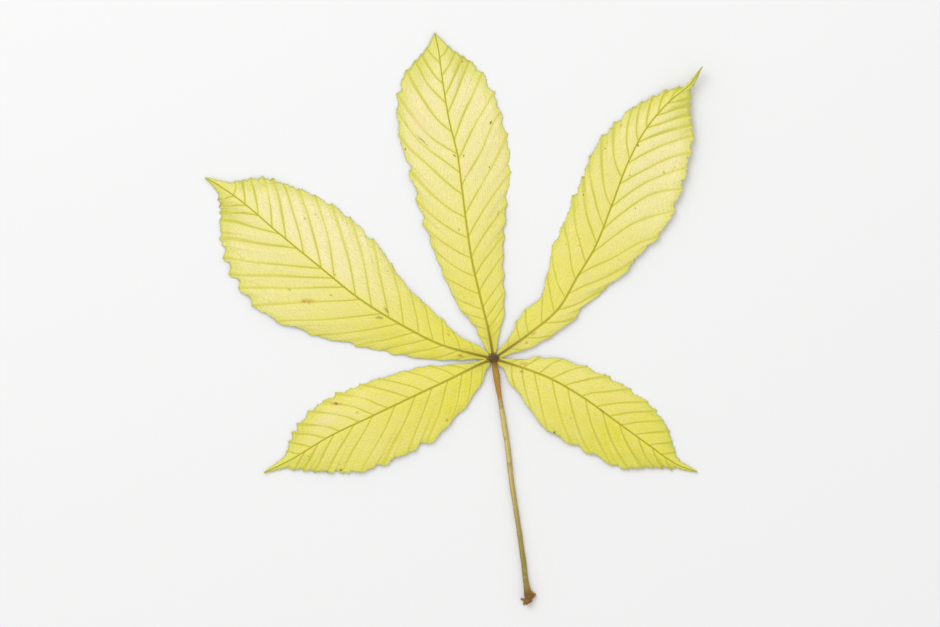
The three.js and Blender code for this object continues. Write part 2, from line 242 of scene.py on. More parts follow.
MIDDLE = LeafletPlan(
    name="leaflet_middle", seed=11,
    midrib=[(0, 0), (-2.5, 14.2), (-6.2, 29.2), (-10.8, 49.2), (-13.8, 69.2), (-16, 86.8), (-18, 101.8),
            (-22.2, 119.2), (-25.5, 139.2), (-27.5, 154.2), (-29.5, 163.2)],
    lift=[(0, 3.2), (0.3, 4.2), (0.65, 2.6), (1, 2.2)],
    left=HalfPlan(
        width=[(2.2, 1.8), (9, 4.1), (15, 5.7), (20, 7), (27, 10.8), (42, 14.5), (60, 18.4), (80, 22.4),
               (100, 24.8), (116, 26), (128, 25.2), (140, 22.3), (149, 17), (156, 9.4), (161, 4.2),
               (165.7, 0.3)],
        edge=[(0, 3.2), (0.3, 2.6), (0.55, 2.4), (0.75, 1.6), (0.9, 0), (1, 2.2)],
        veins=[(9, 13), (14.5, 19.5), (20, 27), (25, 35), (33, 46), (42, 60), (51.5, 71.5), (61.5, 84),
               (72, 99), (83.5, 120), (94.5, 131), (104, 138.5), (115.5, 149), (130, 153.5), (140, 156.5),
               (150, 159.5)],
        bow=[(0, 0.05), (0.4, 0.12), (1, 0.12)],
        green=[(0, 0.9), (0.2, 0.75), (0.4, 0.5), (0.6, 0.25), (0.85, 0.1), (1, 0.3)]),
    right=HalfPlan(
        width=[(2.2, 1.8), (8, 3.5), (15, 6.5), (20, 9.2), (30, 11.9), (50, 15.8), (66, 19), (80, 22),
               (90, 24.7), (108, 26), (122, 25.8), (134, 23.4), (143, 19.8), (150, 14.6), (156, 7),
               (161, 3.2), (165.7, 0.3)],
        edge=[(0, 3.2), (0.3, 2), (0.55, 0), (0.8, 0.8), (1, 2.2)],
        veins=[(10, 15), (15, 24), (20, 31), (26, 38.5), (34, 50), (42.5, 60.5), (52, 76), (62, 92),
               (73.5, 108), (88, 120), (101.5, 132), (111, 143), (125, 150), (134, 152.5), (144, 155),
               (153, 158)],
        bow=[(0, 0), (0.4, -0.05), (0.8, 0.05)],
        green=[(0, 0.9), (0.2, 0.75), (0.4, 0.5), (0.6, 0.25), (0.85, 0.1), (1, 0.3)]),
    blemishes=(
        Blemish(Mark.SPECK, 113, 24.7, 0.8, 0.5, 0.3), Blemish(Mark.SPECK, 66.5, 4, 0.7, 0.45, 0.5),
        Blemish(Mark.SMUDGE, 49, 12), Blemish(Mark.SPECK, 103.5, 1.5, 1.1, 0.5, 0.8),
        Blemish(Mark.SMUDGE, 115, 15.4, 5, 0.5, 0.57), Blemish(Mark.SPECK, 115, -20, 1.2, 0.6, -0.5),
        Blemish(Mark.SMUDGE, 72, -16.5, 1.9, 0.45, -0.3), Blemish(Mark.SPECK, 95.5, -15, 0.55, 0.45),
        Blemish(Mark.SMUDGE, 146, -18, 1.3, 0.7, 0.3), Blemish(Mark.SPECK, 150, -11, 0.5, 0.4),
        Blemish(Mark.SPECK, 102.5, -3, 1, 0.4, -0.6), Blemish(Mark.SPECK, 92.5, -2),
        Blemish(Mark.BLUSH, 96, -3, 7, 2.4), Blemish(Mark.BLUSH, 122, 14, 9, 5, 0.5)))

UPPER_LEFT = LeafletPlan(
    name="leaflet_upper_left", seed=23,
    midrib=[(0, 0), (-11.8, 2.8), (-26.8, 7.2), (-44.8, 16.2), (-66.8, 29.8), (-86.8, 45.8), (-106.8, 62.2),
            (-126.8, 79.2), (-141.8, 89.2), (-144.5, 90.5)],
    lift=[(0, 3.2), (0.3, 4.6), (0.7, 2.8), (1, 1.8)],
    left=HalfPlan(
        width=[(2.2, 1.2), (9, 2.4), (17, 5), (25, 7.4), (40, 12.6), (50, 15.9), (60, 19.5), (70, 23.3),
               (78, 27), (92, 32.6), (105, 35.8), (117, 35.2), (128, 31.8), (136, 28.3), (143, 23.5),
               (150, 18.6), (155, 12.2), (160, 6.4), (165, 2.8), (172.5, 0.3)],
        edge=[(0, 3.2), (0.3, 1.6), (0.5, 2.2), (0.65, 3), (0.85, 0), (1, 1.8)],
        veins=[(10, 18), (17.5, 29), (26, 41), (34, 52.5), (41.5, 63), (50.5, 82), (60.5, 99),
               (73.5, 113.5), (83.5, 124), (90.5, 131.5), (98, 139), (114, 147.5), (125.5, 154),
               (139.5, 156.5), (147, 158.5), (155, 161)],
        bow=[(0, -0.03), (0.5, 0), (1, 0.02)],
        green=[(0, 1), (0.2, 0.95), (0.4, 0.65), (0.6, 0.4), (0.85, 0.25), (1, 0.4)],
        tooth_depth=2),
    right=HalfPlan(
        width=[(2.2, 1.9), (9, 4.6), (20, 6.9), (26, 9.6), (38, 13.6), (50, 16.2), (62, 19.8), (72, 24),
               (82, 26.4), (96, 28), (110, 28.4), (120, 27), (130, 24.6), (140, 20.6), (148, 16.8),
               (154, 11.6), (159, 6), (164, 3), (172.5, 0.3)],
        edge=[(0, 3.2), (0.3, 1.2), (0.5, 0), (0.75, 1), (1, 1.8)],
        veins=[(9.5, 14), (17, 24), (25, 32.5), (31.5, 45), (39.5, 54.5), (48, 70.5), (56.5, 88),
               (66.5, 103.5), (76.5, 115), (90, 124.5), (98.5, 133.5), (110, 140.5), (121.5, 146),
               (130.5, 150), (140, 154), (148.5, 156.5), (155.5, 159)],
        bow=[(0, 0.07), (1, 0.07)],
        green=[(0, 1), (0.2, 0.9), (0.4, 0.4), (0.6, 0), (0.85, 0.1), (1, 0.4)]),
    blemishes=(
        Blemish(Mark.SCORCH, 93, 17, 5, 1.7, 0.64), Blemish(Mark.SMUDGE, 94.6, 18.4, 1.5, 0.4, 0.5),
        Blemish(Mark.SMUDGE, 92.2, 17.2, 1.2, 0.4, -0.6), Blemish(Mark.SMUDGE, 86, 7.5, 1, 0.6),
        Blemish(Mark.SMUDGE, 104, 18.5, 1.1, 0.6, 0.6), Blemish(Mark.SPECK, 131, 21),
        Blemish(Mark.SMUDGE, 60.5, 2.5, 2.8, 1.1, 0.4), Blemish(Mark.SMUDGE, 59.5, -2.5, 2.4, 0.9, -0.4),
        Blemish(Mark.SMUDGE, 16.5, 2.5, 1.8, 1.0, 0.3), Blemish(Mark.SMUDGE, 120.5, -14, 0.9, 0.6),
        Blemish(Mark.SMUDGE, 118, -19, 0.9, 0.5, -0.5), Blemish(Mark.SMUDGE, 25, -6, 0.9, 0.5),
        Blemish(Mark.SPECK, 70, -19.3), Blemish(Mark.SPECK, 91, -2)))

UPPER_RIGHT = LeafletPlan(
    name="leaflet_upper_right", seed=37,
    midrib=[(0, 0), (4.2, 2.8), (18.2, 12.8), (32.2, 24.8), (41.8, 40.8), (50.8, 55.8), (58.8, 75.8),
            (67.2, 97.8), (75.8, 114.2), (87.2, 127.8), (98.2, 137.2), (104.5, 146)],
    lift=[(0, 3.2), (0.25, 4), (0.5, 2.4), (0.8, 4.6), (1, 9)],
    left=HalfPlan(
        width=[(2.2, 1.6), (9, 3.2), (15, 5.4), (22, 9.2), (30, 10.6), (40, 10.2), (50, 13), (57, 14.6),
               (65, 18.2), (78, 19.2), (92, 19.4), (108, 18.3), (126, 17.7), (134, 15), (144, 12.3),
               (155, 7.8), (164, 4.4), (169, 2), (176, 1.2), (183, 0.3)],
        edge=[(0, 3.2), (0.25, 2), (0.45, 0.4), (0.6, 0), (0.8, 2), (1, 9)],
        veins=[(9, 13), (16, 21), (21.5, 28), (29.5, 42), (38, 54), (47.5, 66), (58, 82), (67.5, 97),
               (78.5, 108), (88, 118), (98.5, 129), (114, 136.5), (124, 146), (134, 150.5), (142, 156),
               (151.5, 162), (160, 168)],
        bow=[(0, 0.12), (1, 0.13)],
        # Painted shade: this half's green runs higher than the right half's partly to darken the half that
        # tilts away from the light; the rest is the blade's real green.
        green=[(0, 0.7), (0.2, 0.85), (0.4, 0.7), (0.55, 0.55), (0.8, 0.3), (1, 0.6)],
        tooth_depth=1.2),
    right=HalfPlan(
        width=[(2.2, 1.6), (10, 3.3), (18, 6.2), (34, 8.2), (46, 10), (58, 13.8), (68, 17.6), (78, 20.4),
               (88, 25.2), (98, 29), (110, 30.1), (122, 29.8), (134, 27.8), (144, 25.4), (152, 22.4),
               (158, 18.2), (163, 12.6), (167, 7), (171, 3.2), (177, 1.3), (183, 0.3)],
        edge=[(0, 3.2), (0.2, 3.4), (0.35, 3), (0.55, 6.5), (0.75, 9), (0.9, 8.6), (1, 9)],
        veins=[(9.5, 16), (19, 30), (30.5, 43), (40, 62), (49.5, 79), (60, 93), (73, 107.5), (86, 121),
               (98, 134), (110.5, 146), (121.5, 155.5), (133, 160), (141.5, 163.5), (149.5, 166.5),
               (158, 169)],
        bow=[(0, 0.1), (0.25, 0.05), (0.35, -0.2), (0.48, -0.15), (0.6, 0.02), (0.8, 0.08)],
        green=[(0, 0.6), (0.2, 0.65), (0.4, 0.6), (0.6, 0.25), (0.85, 0.15), (1, 0.6)],
        tooth_depth=1.7, fine_teeth=4, fine_depth=0.8),
    blemishes=(
        Blemish(Mark.SPECK, 70.5, 13.5), Blemish(Mark.SPECK, 73.5, 7.5, 0.45, 0.35),
        Blemish(Mark.SPECK, 77, 0.7), Blemish(Mark.SPECK, 99, 15, 0.45, 0.35), Blemish(Mark.SPECK, 124, 13),
        Blemish(Mark.SCORCH, 136.5, 11.5, 1.2, 0.8), Blemish(Mark.SCORCH, 154, 7, 1, 0.6),
        Blemish(Mark.SPECK, 132, -0.8, 0.85, 0.7), Blemish(Mark.SPECK, 116.5, -3.5, 0.6, 0.45),
        Blemish(Mark.SPECK, 102, -11.5), Blemish(Mark.SCORCH, 125, -18.5, 1.1, 0.8),
        Blemish(Mark.SCORCH, 23.5, -1.5, 2.2, 1.1), Blemish(Mark.SMUDGE, 18, -3, 1, 0.6)))

LOWER_LEFT = LeafletPlan(
    name="leaflet_lower_left", seed=41,
    midrib=[(0, 0), (-6.8, -2.8), (-21.8, -10.2), (-42.2, -19.8), (-61.8, -29.2), (-81.8, -38.8),
            (-101.8, -50.8), (-115, -57.2)],
    lift=[(0, 3.2), (0.35, 4.4), (0.7, 2.6), (1, 1.6)],
    left=HalfPlan(
        width=[(2.2, 2.4), (5.5, 3.9), (10, 8.4), (18, 13.3), (25, 16.4), (32, 19.6), (42, 23.6), (52, 24.3),
               (62, 24.7), (72, 24.4), (82, 23.6), (90, 21), (98, 17), (106, 11.6), (113, 6), (119, 2.6),
               (128.6, 0.3)],
        edge=[(0, 3.2), (0.25, 3), (0.5, 3.6), (0.75, 2.4), (1, 1.6)],
        veins=[(6, 11), (11.5, 22.5), (17, 33), (25, 48.5), (34, 60), (43, 73), (54, 85), (67, 95),
               (77, 101.5), (88, 107), (97, 111), (105, 115)],
        bow=[(0, 0.03), (1, 0.03)],
        green=[(0, 1), (0.2, 0.95), (0.5, 0.75), (0.8, 0.7), (1, 0.8)],
        tooth_depth=1.4),
    right=HalfPlan(
        width=[(2.2, 1.1), (9, 2), (17, 4.7), (25, 7.9), (32, 10.8), (42, 13), (54, 14.9), (66, 16.6),
               (78, 17.3), (88, 16.8), (97, 14.4), (105, 11), (110, 7.6), (114, 4.2), (120, 2),
               (128.6, 0.3)],
        edge=[(0, 3.2), (0.3, 1.4), (0.55, 0), (0.8, 0.4), (1, 1.6)],
        veins=[(8, 14), (14, 22), (21, 31), (29.5, 43), (38.5, 56), (46.5, 66), (58, 79), (66, 86),
               (74, 94), (85, 101.5), (93, 106), (101.5, 110), (108, 113.5)],
        bow=[(0, 0.06), (1, 0.06)],
        green=[(0, 1), (0.2, 0.9), (0.5, 0.65), (0.8, 0.65), (1, 0.8)],
        tooth_depth=1.2),
    blemishes=(
        Blemish(Mark.SPECK, 94.5, 17.5, 0.9, 0.8), Blemish(Mark.SMUDGE, 34, 18, 1.3, 0.9),
        Blemish(Mark.SCORCH, 81, -13, 3.4, 1.2, -0.35), Blemish(Mark.SPECK, 81, -13.2, 1.3, 0.4, -0.5),
        Blemish(Mark.SMUDGE, 73, -5, 0.9, 0.6), Blemish(Mark.BLUSH, 88, -8, 7, 4)))

LOWER_RIGHT = LeafletPlan(
    name="leaflet_lower_right", seed=59,
    midrib=[(0, 0), (5.8, -1.8), (15.8, -5), (28.2, -9.8), (44.2, -19), (59.2, -29.8), (76.2, -42.2),
            (92.2, -53.2), (102.2, -56.8)],
    lift=[(0, 3.2), (0.35, 4.6), (0.7, 3), (1, 1.4)],
    left=HalfPlan(
        width=[(2.2, 1.2), (10, 2.5), (14, 4.4), (20, 7), (28, 10.1), (36, 12.4), (48, 14.5), (58, 16.3),
               (66, 17), (78, 16.8), (86, 15), (94, 11.4), (100, 7), (106, 3.2), (111, 1.8), (118, 0.3)],
        edge=[(0, 3.2), (0.3, 1.4), (0.55, 0), (0.8, 0.6), (1, 1.4)],
        veins=[(8, 13), (15.5, 22), (24, 31.5), (30.5, 42.5), (38, 54), (48, 66), (57, 76.5), (65, 83),
               (72.5, 88.5), (81, 94), (90, 98.5), (97.5, 103)],
        bow=[(0, 0.05), (1, 0.05)],
        green=[(0, 0.6), (0.25, 0.65), (0.5, 0.7), (0.8, 0.95), (1, 1)],
        tooth_depth=1.2),
    right=HalfPlan(
        width=[(2.2, 2.2), (7, 4), (10, 7.9), (15, 11), (19, 13.4), (23, 16.6), (29, 19.2), (36, 22),
               (44, 23.6), (54, 23), (64, 21.6), (74, 19.8), (84, 18), (90, 14.6), (96, 9.6), (102, 5.2),
               (108, 2.2), (118, 0.3)],
        edge=[(0, 3.2), (0.25, 3.4), (0.5, 4), (0.75, 2.6), (1, 1.4)],
        veins=[(9.5, 15), (14.8, 28), (21.5, 43), (31, 59), (40, 69), (50.5, 81), (61, 88.5), (71.5, 94.5),
               (83, 98.5), (92, 102), (100, 106)],
        bow=[(0, 0.12), (1, 0.14)],
        green=[(0, 0.6), (0.25, 0.75), (0.5, 0.85), (0.8, 1), (1, 1)]),
    blemishes=(
        Blemish(Mark.SCORCH, 15, 2, 2.8, 1.2, 0.2), Blemish(Mark.SMUDGE, 15.5, -2, 1.6, 0.8),
        Blemish(Mark.SPECK, 46.5, -22.6, 0.8, 0.7), Blemish(Mark.SMUDGE, 61, 0, 2.2, 0.6),
        Blemish(Mark.SMUDGE, 50, -12, 0.8, 0.5)))

LEAFLET_PLANS = (MIDDLE, UPPER_LEFT, UPPER_RIGHT, LOWER_LEFT, LOWER_RIGHT)


# ---- Materials ----

Feed = Union["Wire", float, Sequence[float]]


class Wire:
    """A socket on its way through a material, with arithmetic for single values."""

    def __init__(self, shader: "Shader", socket: bpy.types.NodeSocket) -> None:
        """Wrap one output socket."""
        self.shader = shader
        self.socket = socket

    def __add__(self, other: Feed) -> "Wire":
        """Return self + other."""
        return self.shader.math("ADD", self, other)

    __radd__ = __add__

    def __mul__(self, other: Feed) -> "Wire":
        """Return self * other."""
        return self.shader.math("MULTIPLY", self, other)

    __rmul__ = __mul__

    def __sub__(self, other: Feed) -> "Wire":
        """Return self - other."""
        return self.shader.math("SUBTRACT", self, other)

    def __rsub__(self, other: Feed) -> "Wire":
        """Return other - self."""
        return self.shader.math("SUBTRACT", other, self)

    def __truediv__(self, other: Feed) -> "Wire":
        """Return self / other."""
        return self.shader.math("DIVIDE", self, other)

    def __abs__(self) -> "Wire":
        """Return the value without its sign."""
        return self.shader.math("ABSOLUTE", self)

    def fraction(self) -> "Wire":
        """Return the part above the whole number below."""
        return self.shader.math("FRACT", self)

    def whole(self) -> "Wire":
        """Return the whole number below."""
        return self.shader.math("FLOOR", self)

    def either(self, other: Feed) -> "Wire":
        """Return the larger of two values."""
        return self.shader.math("MAXIMUM", self, other)

    def rising(self, low: Feed, high: Feed) -> "Wire":
        """Return a smooth step from 0 at low to 1 at high."""
        return self.shader.step(self, low, high)

    def falling(self, low: Feed, high: Feed) -> "Wire":
        """Return a smooth step from 1 at low to 0 at high."""
        return 1 - self.shader.step(self, low, high)


class Shader:
    """A new material and the means to wire its nodes."""

    def __init__(self, name: str) -> None:
        """Start an empty material with this name."""
        self.material = bpy.data.materials.new(name)
        self.material.use_nodes = True
        self.tree = self.material.node_tree
        self.tree.nodes.clear()

    def node(self, kind: str, settings: Mapping[str, Any], feeds: Mapping[str, Feed]) -> bpy.types.Node:
        """Add one node.

        Args:
            kind: Blender's name for the node's type.
            settings: the node's own settings, set before anything is fed.
            feeds: a value or a wire for each socket, by the socket's name or place.

        Returns:
            The new node.
        """
        made = self.tree.nodes.new(kind)
        for name, value in settings.items():
            setattr(made, name, value)
        open_sockets = [socket for socket in made.inputs if socket.enabled]
        for key, feed in feeds.items():
            place = int(key) if key.isdigit() else [socket.name for socket in open_sockets].index(key)
            self.feed(open_sockets[place], feed)
        return made

    def feed(self, socket: bpy.types.NodeSocket, feed: Feed) -> None:
        """Link a wire to a socket, or set the socket to a plain value."""
        if isinstance(feed, Wire):
            self.tree.links.new(feed.socket, socket)
        elif socket.type == "RGBA":
            socket.default_value = (*feed, 1.0)
        else:
            socket.default_value = feed

    def out(self, made: bpy.types.Node, name: str = "") -> Wire:
        """Return a node's named output, or its first one in use."""
        found = [socket for socket in made.outputs if socket.enabled and name in ("", socket.name)]
        return Wire(self, found[0])

    def math(self, operation: str, *values: Feed) -> Wire:
        """Return the outcome of one Math node on one or two values."""
        feeds = {str(i): value for i, value in enumerate(values)}
        return self.out(self.node("ShaderNodeMath", {"operation": operation}, feeds))

    def step(self, value: Feed, low: Feed, high: Feed) -> Wire:
        """Return a smooth step of value from 0 at low to 1 at high."""
        feeds = {"Value": value, "From Min": low, "From Max": high}
        return self.out(self.node("ShaderNodeMapRange", {"interpolation_type": "SMOOTHSTEP"}, feeds))

    def mix(self, factor: Feed, base: Feed, cover: Feed) -> Wire:
        """Return the colour base with a share of the colour cover laid over it."""
        feeds = {"Factor": factor, "A": base, "B": cover}
        return self.out(self.node("ShaderNodeMix", {"data_type": "RGBA"}, feeds))

    def layers(self, base: Feed, *covers: tuple[Feed, Feed]) -> Wire:
        """Return the colour base under several covers, each given as (share, colour)."""
        for factor, colour in covers:
            base = self.mix(factor, base, colour)
        return base

    def vector(self, operation: str, feeds: Mapping[str, Feed], output: str = "") -> Wire:
        """Return the outcome of one Vector Math node."""
        return self.out(self.node("ShaderNodeVectorMath", {"operation": operation}, feeds), output)

    def attribute(self, name: str) -> Wire:
        """Return a value that the mesh holds at its points."""
        return self.out(self.node("ShaderNodeAttribute", {"attribute_name": name}, {}), "Fac")

    def place(self) -> Wire:
        """Return the point's place on the object, in millimetres."""
        here = self.out(self.node("ShaderNodeTexCoord", {}, {}), "Object")
        return self.vector("SCALE", {"0": here, "Scale": 1 / MM})

    def noise(self, where: Wire, size: float, detail: float = 3.0, distortion: float = 0.0) -> Wire:
        """Return cloudy noise around 0.5.

        Args:
            where: the place, in millimetres.
            size: the clouds' size, in millimetres.
            detail: how many finer layers are added.
            distortion: how far the clouds swirl.

        Returns:
            The noise.
        """
        feeds = {"Vector": where, "Scale": 1 / size, "Detail": detail, "Distortion": distortion}
        return self.out(self.node("ShaderNodeTexNoise", {}, feeds), "Fac")

    def cells(self, where: Wire, size: float) -> Wire:
        """Return the distance to the walls of a net of cells of this size, as a share of it."""
        settings = {"feature": "DISTANCE_TO_EDGE"}
        feeds = {"Vector": where, "Scale": 1 / size}
        return self.out(self.node("ShaderNodeTexVoronoi", settings, feeds), "Distance")

    def spot(self, where: Wire, middle: Sequence[float], size: Sequence[float], turn: float) -> Wire:
        """Return 1 inside an oval and 0 outside it, with a soft edge.

        Args:
            where: the place, in millimetres.
            middle: the oval's middle.
            size: its half-length and half-width.
            turn: the angle of its length from +X, in radians.

        Returns:
            The mask.
        """
        offset = self.vector("SUBTRACT", {"0": where, "1": middle})
        turned = self.out(self.node("ShaderNodeVectorRotate", {"rotation_type": "Z_AXIS"},
                                    {"Vector": offset, "Angle": -turn}))
        shaped = self.vector("MULTIPLY", {"0": turned, "1": (1 / size[0], 1 / size[1], 0.0)})
        distance = self.vector("LENGTH", {"0": shaped}, "Value")
        return distance.falling(0.3, 1.1)

    def bump(self, height: Wire) -> Wire:
        """Return the normal of a surface whose height is in millimetres."""
        feeds = {"Strength": 1.0, "Distance": MM, "Height": height}
        return self.out(self.node("ShaderNodeBump", {}, feeds))

    def principled(self, colour: Feed, roughness: Feed, normal: Feed, **fixed: float) -> Wire:
        """Return a Principled surface.

        Args:
            colour: the base colour.
            roughness: from 0, polished, to 1, matt.
            normal: the bumped normal.
            fixed: other sockets' plain values, with _ for a space in a socket's name.

        Returns:
            The surface.
        """
        feeds = {"Base Color": colour, "Roughness": roughness, "Normal": normal}
        feeds.update({name.replace("_", " "): value for name, value in fixed.items()})
        return self.out(self.node("ShaderNodeBsdfPrincipled", {}, feeds))

    def finish(self, surface: Wire) -> bpy.types.Material:
        """Send a surface to the material's output and return the material."""
        self.node("ShaderNodeOutputMaterial", {}, {"Surface": surface})
        return self.material


@dataclass(frozen=True)
class BladeFinish:
    """The skin of a yellow blade: pale panels between greener veins."""

    panel: Colour = tint("FBF1BA")
    green: Colour = tint("E8DF40")
    blush: Colour = tint("F2DEA8")
    grain: Colour = tint("E6DE70")
    flank: Colour = tint("EEE66C")
    vein: Colour = tint("C6BE3C")
    rib: Colour = tint("B0A824")
    rib_base: Colour = tint("86740E")
    shade: Colour = tint("A89A20")
    outline: Colour = tint("AEB65A")
    band: Colour = tint("DCDB5C")
    underside: Colour = tint("E9E5A4")
    scorch: Colour = tint("D2A23C")
    smudge: Colour = tint("93802E")
    speck: Colour = tint("644A1C")
    burn: Colour = tint("8E6C26")
    through: Colour = tint("F4EC90")
    translucency: float = 0.07
    ragged: float = 1.8  # how far a blemish's outline strays, in millimetres

    def dress(self, plan: LeafletPlan, hub: Array) -> bpy.types.Material:
        """Make one leaflet's material.

        Args:
            plan: the leaflet, for its blemishes.
            hub: the middle of the hub.

        Returns:
            The material.
        """
        s = Shader(plan.name + "_skin")
        where = s.place()
        rib = s.attribute("rib_gap")
        edge = s.attribute("edge_gap")
        along = s.attribute("along")
        index = s.attribute("vein_index")
        phase = index.fraction()
        vein_gap = (0.5 - abs(phase - 0.5)) * s.attribute("vein_pitch")
        clouds = s.noise(where, 14, 3)
        mottle = s.noise(where, 2.6, 4, 0.4)
        specks = s.noise(where, 1.1, 2)
        grain = s.noise(where, 0.35, 2)

        vein = vein_gap.falling(0.05, 0.62) * (0.55 + 0.45 * rib.falling(2, 22))
        flank = vein_gap.falling(0.3, 2)
        fork = self.forks(s, index, phase)
        cross = self.cross_veins(s, where, index).falling(0.06, 0.26) * rib.rising(1, 3)
        net = s.cells(where, 0.95).falling(0.02, 0.11)
        rib_width = 0.58 - 0.32 * along
        rib_mask = rib.falling(rib_width * 0.7, rib_width * 1.4)
        near_hub = along.falling(0.02, 0.15)

        colour = s.layers(
            self.panel,
            (s.attribute("green") * (0.7 + clouds * 0.6), self.green),
            (mottle.rising(0.48, 0.7) * 0.4, self.blush),
            (specks.rising(0.45, 0.7) * 0.35, self.grain),
            (flank * 0.4, self.flank),
            (rib.falling(0.8, 4) * 0.4, self.flank),
            (near_hub * rib.falling(0.5, 5) * 0.5, self.shade),
            (edge.falling(0.4, 4) * 0.6, self.band),
            (net * 0.2, self.vein),
            (cross * 0.25, self.vein),
            (fork * 0.35, self.vein),
            (vein * 0.9, self.vein),
            (rib_mask, s.mix(near_hub, self.rib, self.rib_base)),
            (edge.falling(0.1, 0.5) * 0.6, self.outline),
            (s.attribute("under") * 0.55, self.underside),
            (s.noise(where, 0.8, 1).rising(0.7, 0.76) * clouds.rising(0.45, 0.6) * 0.5, self.burn),
            *self.marks(s, where, plan, hub),
            (self.tip_burn(s, where, edge, vein_gap), self.burn),
        )
        height = grain * 0.012 - net * 0.03 - cross * 0.05
        roughness = 0.52 + 0.16 * mottle - 0.08 * rib_mask
        skin = s.principled(colour, roughness, s.bump(height), Specular_IOR_Level=0.3)
        glow = s.out(s.node("ShaderNodeBsdfTranslucent", {}, {"Color": self.through}))
        dense = 1 - 0.45 * vein.either(cross * 0.4) - 0.8 * rib_mask
        mixed = s.node("ShaderNodeMixShader", {},
                       {"0": self.translucency * dense.either(0), "1": skin, "2": glow})
        return s.finish(s.out(mixed))

    def cross_veins(self, s: Shader, where: Wire, index: Wire) -> Wire:
        """Return the distance, in millimetres, to the thin veins that cross between side veins."""
        spacing = 2.3
        wander = s.noise(where, 3.5, 1) * 4.5
        run = (s.attribute("vein_run") + wander + index.whole() * 1.37) / spacing
        return (0.5 - abs(run.fraction() - 0.5)) * spacing

    def forks(self, s: Shader, index: Wire, phase: Wire) -> Wire:
        """Return where some side veins send a thin branch to the margin."""
        reach = s.attribute("fork")
        gap = abs(phase - reach) * s.attribute("vein_pitch")
        some = (index.whole() * 0.618).fraction().rising(0.5, 0.55)
        return gap.falling(0.06, 0.3) * reach.rising(0.015, 0.05) * some

    def marks(self, s: Shader, where: Wire, plan: LeafletPlan, hub: Array) -> list[tuple[Wire, Colour]]:
        """Return each blemish as a cover, (share, colour), with a ragged outline."""
        shake = s.node("ShaderNodeTexNoise", {}, {"Vector": where, "Scale": 0.9, "Detail": 2.0})
        stray = self.ragged
        moved = s.vector("MULTIPLY_ADD", {"0": s.out(shake, "Color"), "1": (stray, stray, 0.0), "2": where})
        centred = s.vector("SUBTRACT", {"0": moved, "1": (stray / 2, stray / 2, 0.0)})
        looks = {Mark.SCORCH: (0.65, self.scorch), Mark.SPECK: (0.85, self.speck),
                 Mark.SMUDGE: (0.6, self.smudge), Mark.BLUSH: (0.45, self.blush)}
        midrib = PlaneRoute(plan.midrib)
        covers = []
        for blemish in plan.blemishes:
            strength, colour = looks[blemish.mark]
            left = midrib.left_of(np.array(blemish.station))
            flat = midrib.at(np.array(blemish.station)) + blemish.offset * left + hub[:2]
            heading = math.atan2(-left[0], left[1])
            steady = s.mix(0.65, where, centred) if blemish.mark is Mark.SPECK else centred
            spot = s.spot(steady, (*flat, 0.0), (blemish.length, blemish.width), heading + blemish.turn)
            covers.append((spot * strength, colour))
        return covers

    def tip_burn(self, s: Shader, where: Wire, edge: Wire, vein_gap: Wire) -> Wire:
        """Return where a few of the teeth have turned brown at their points."""
        chance = s.noise(where, 6, 1).rising(0.6, 0.68)
        return edge.falling(0.1, 0.6) * vein_gap.falling(0.2, 0.7) * chance * 0.35


@dataclass(frozen=True)
class StalkFinish:
    """The skin of the stalk: olive, browner at the hub, with a pale stripe, pores and a dark foot."""

    pale: Colour = tint("BFAC60")
    olive: Colour = tint("8E7E34")
    stripe: Colour = tint("D2C47C")
    orange: Colour = tint("A87A24")
    hub: Colour = tint("523E06")
    ash: Colour = tint("8A6A1C")
    russet: Colour = tint("8A5412")
    patch: Colour = tint("8E6E34")
    foot: Colour = tint("6E4A14")
    scar: Colour = tint("B47C34")
    joint: Colour = tint("86740E")

    def dress(self) -> bpy.types.Material:
        """Make the stalk's material."""
        s = Shader("stalk_skin")
        where = s.place()
        along = s.attribute("along")
        around = s.attribute("around")
        streaks = self.streaks(s, where)
        mottle = s.noise(where, 1.6, 4)
        grain = s.noise(where, 0.25, 2)
        hub = s.attribute("hub")
        upper = along.falling(0.175, 0.195)
        stripe = abs(around - 0.35).falling(0.15, 0.7) * (1 - upper) * along.falling(0.3, 0.9)
        side = abs(around).rising(0.8, 1.5)
        patches = s.noise(where, 7, 2).rising(0.55, 0.66) * along.falling(0.4, 0.62)
        colour = s.layers(
            s.mix(along.rising(0.25, 0.9), self.pale, self.olive),
            (stripe * 0.7, self.stripe),
            (streaks.rising(0.45, 0.75) * 0.4, self.patch),
            (patches * 0.5, self.patch),
            (upper * 0.9, self.orange),
            (along.falling(0.03, 0.075), self.russet),
            (side * 0.5, self.patch),
            (along.rising(0.925, 0.965) * 0.9, self.foot),
            (s.attribute("joint").rising(0.2, 0.9) * 0.9, self.joint),
            (hub.rising(0.2, 0.8), self.hub),
            (hub * mottle.rising(0.5, 0.6) * 0.5, self.ash),
            (s.attribute("scar") * 0.5, self.scar),
            (s.attribute("scrap") * mottle.rising(0.38, 0.55) * 0.55, self.scar),
            (along.rising(0.945, 0.965) * mottle.rising(0.52, 0.62) * 0.4, self.scar),
            (s.attribute("pore") * 0.5, self.stripe),
            (grain.rising(0.6, 0.8) * 0.25, self.hub),
        )
        height = streaks * 0.05 + mottle * 0.06 + grain * 0.02
        roughness = 0.42 + 0.3 * mottle
        return s.finish(s.principled(colour, roughness, s.bump(height), Specular_IOR_Level=0.4))

    def streaks(self, s: Shader, where: Wire) -> Wire:
        """Return noise drawn out along the stalk."""
        return s.noise(s.vector("MULTIPLY", {"0": where, "1": (1.0, 0.06, 1.0)}), 0.45, 3)


# ---- Meshes ----


def stand(name: str, data: bpy.types.ID) -> bpy.types.Object:
    """Put an object that holds this data into the scene."""
    made = bpy.data.objects.new(name, data)
    bpy.context.scene.collection.objects.link(made)
    return made


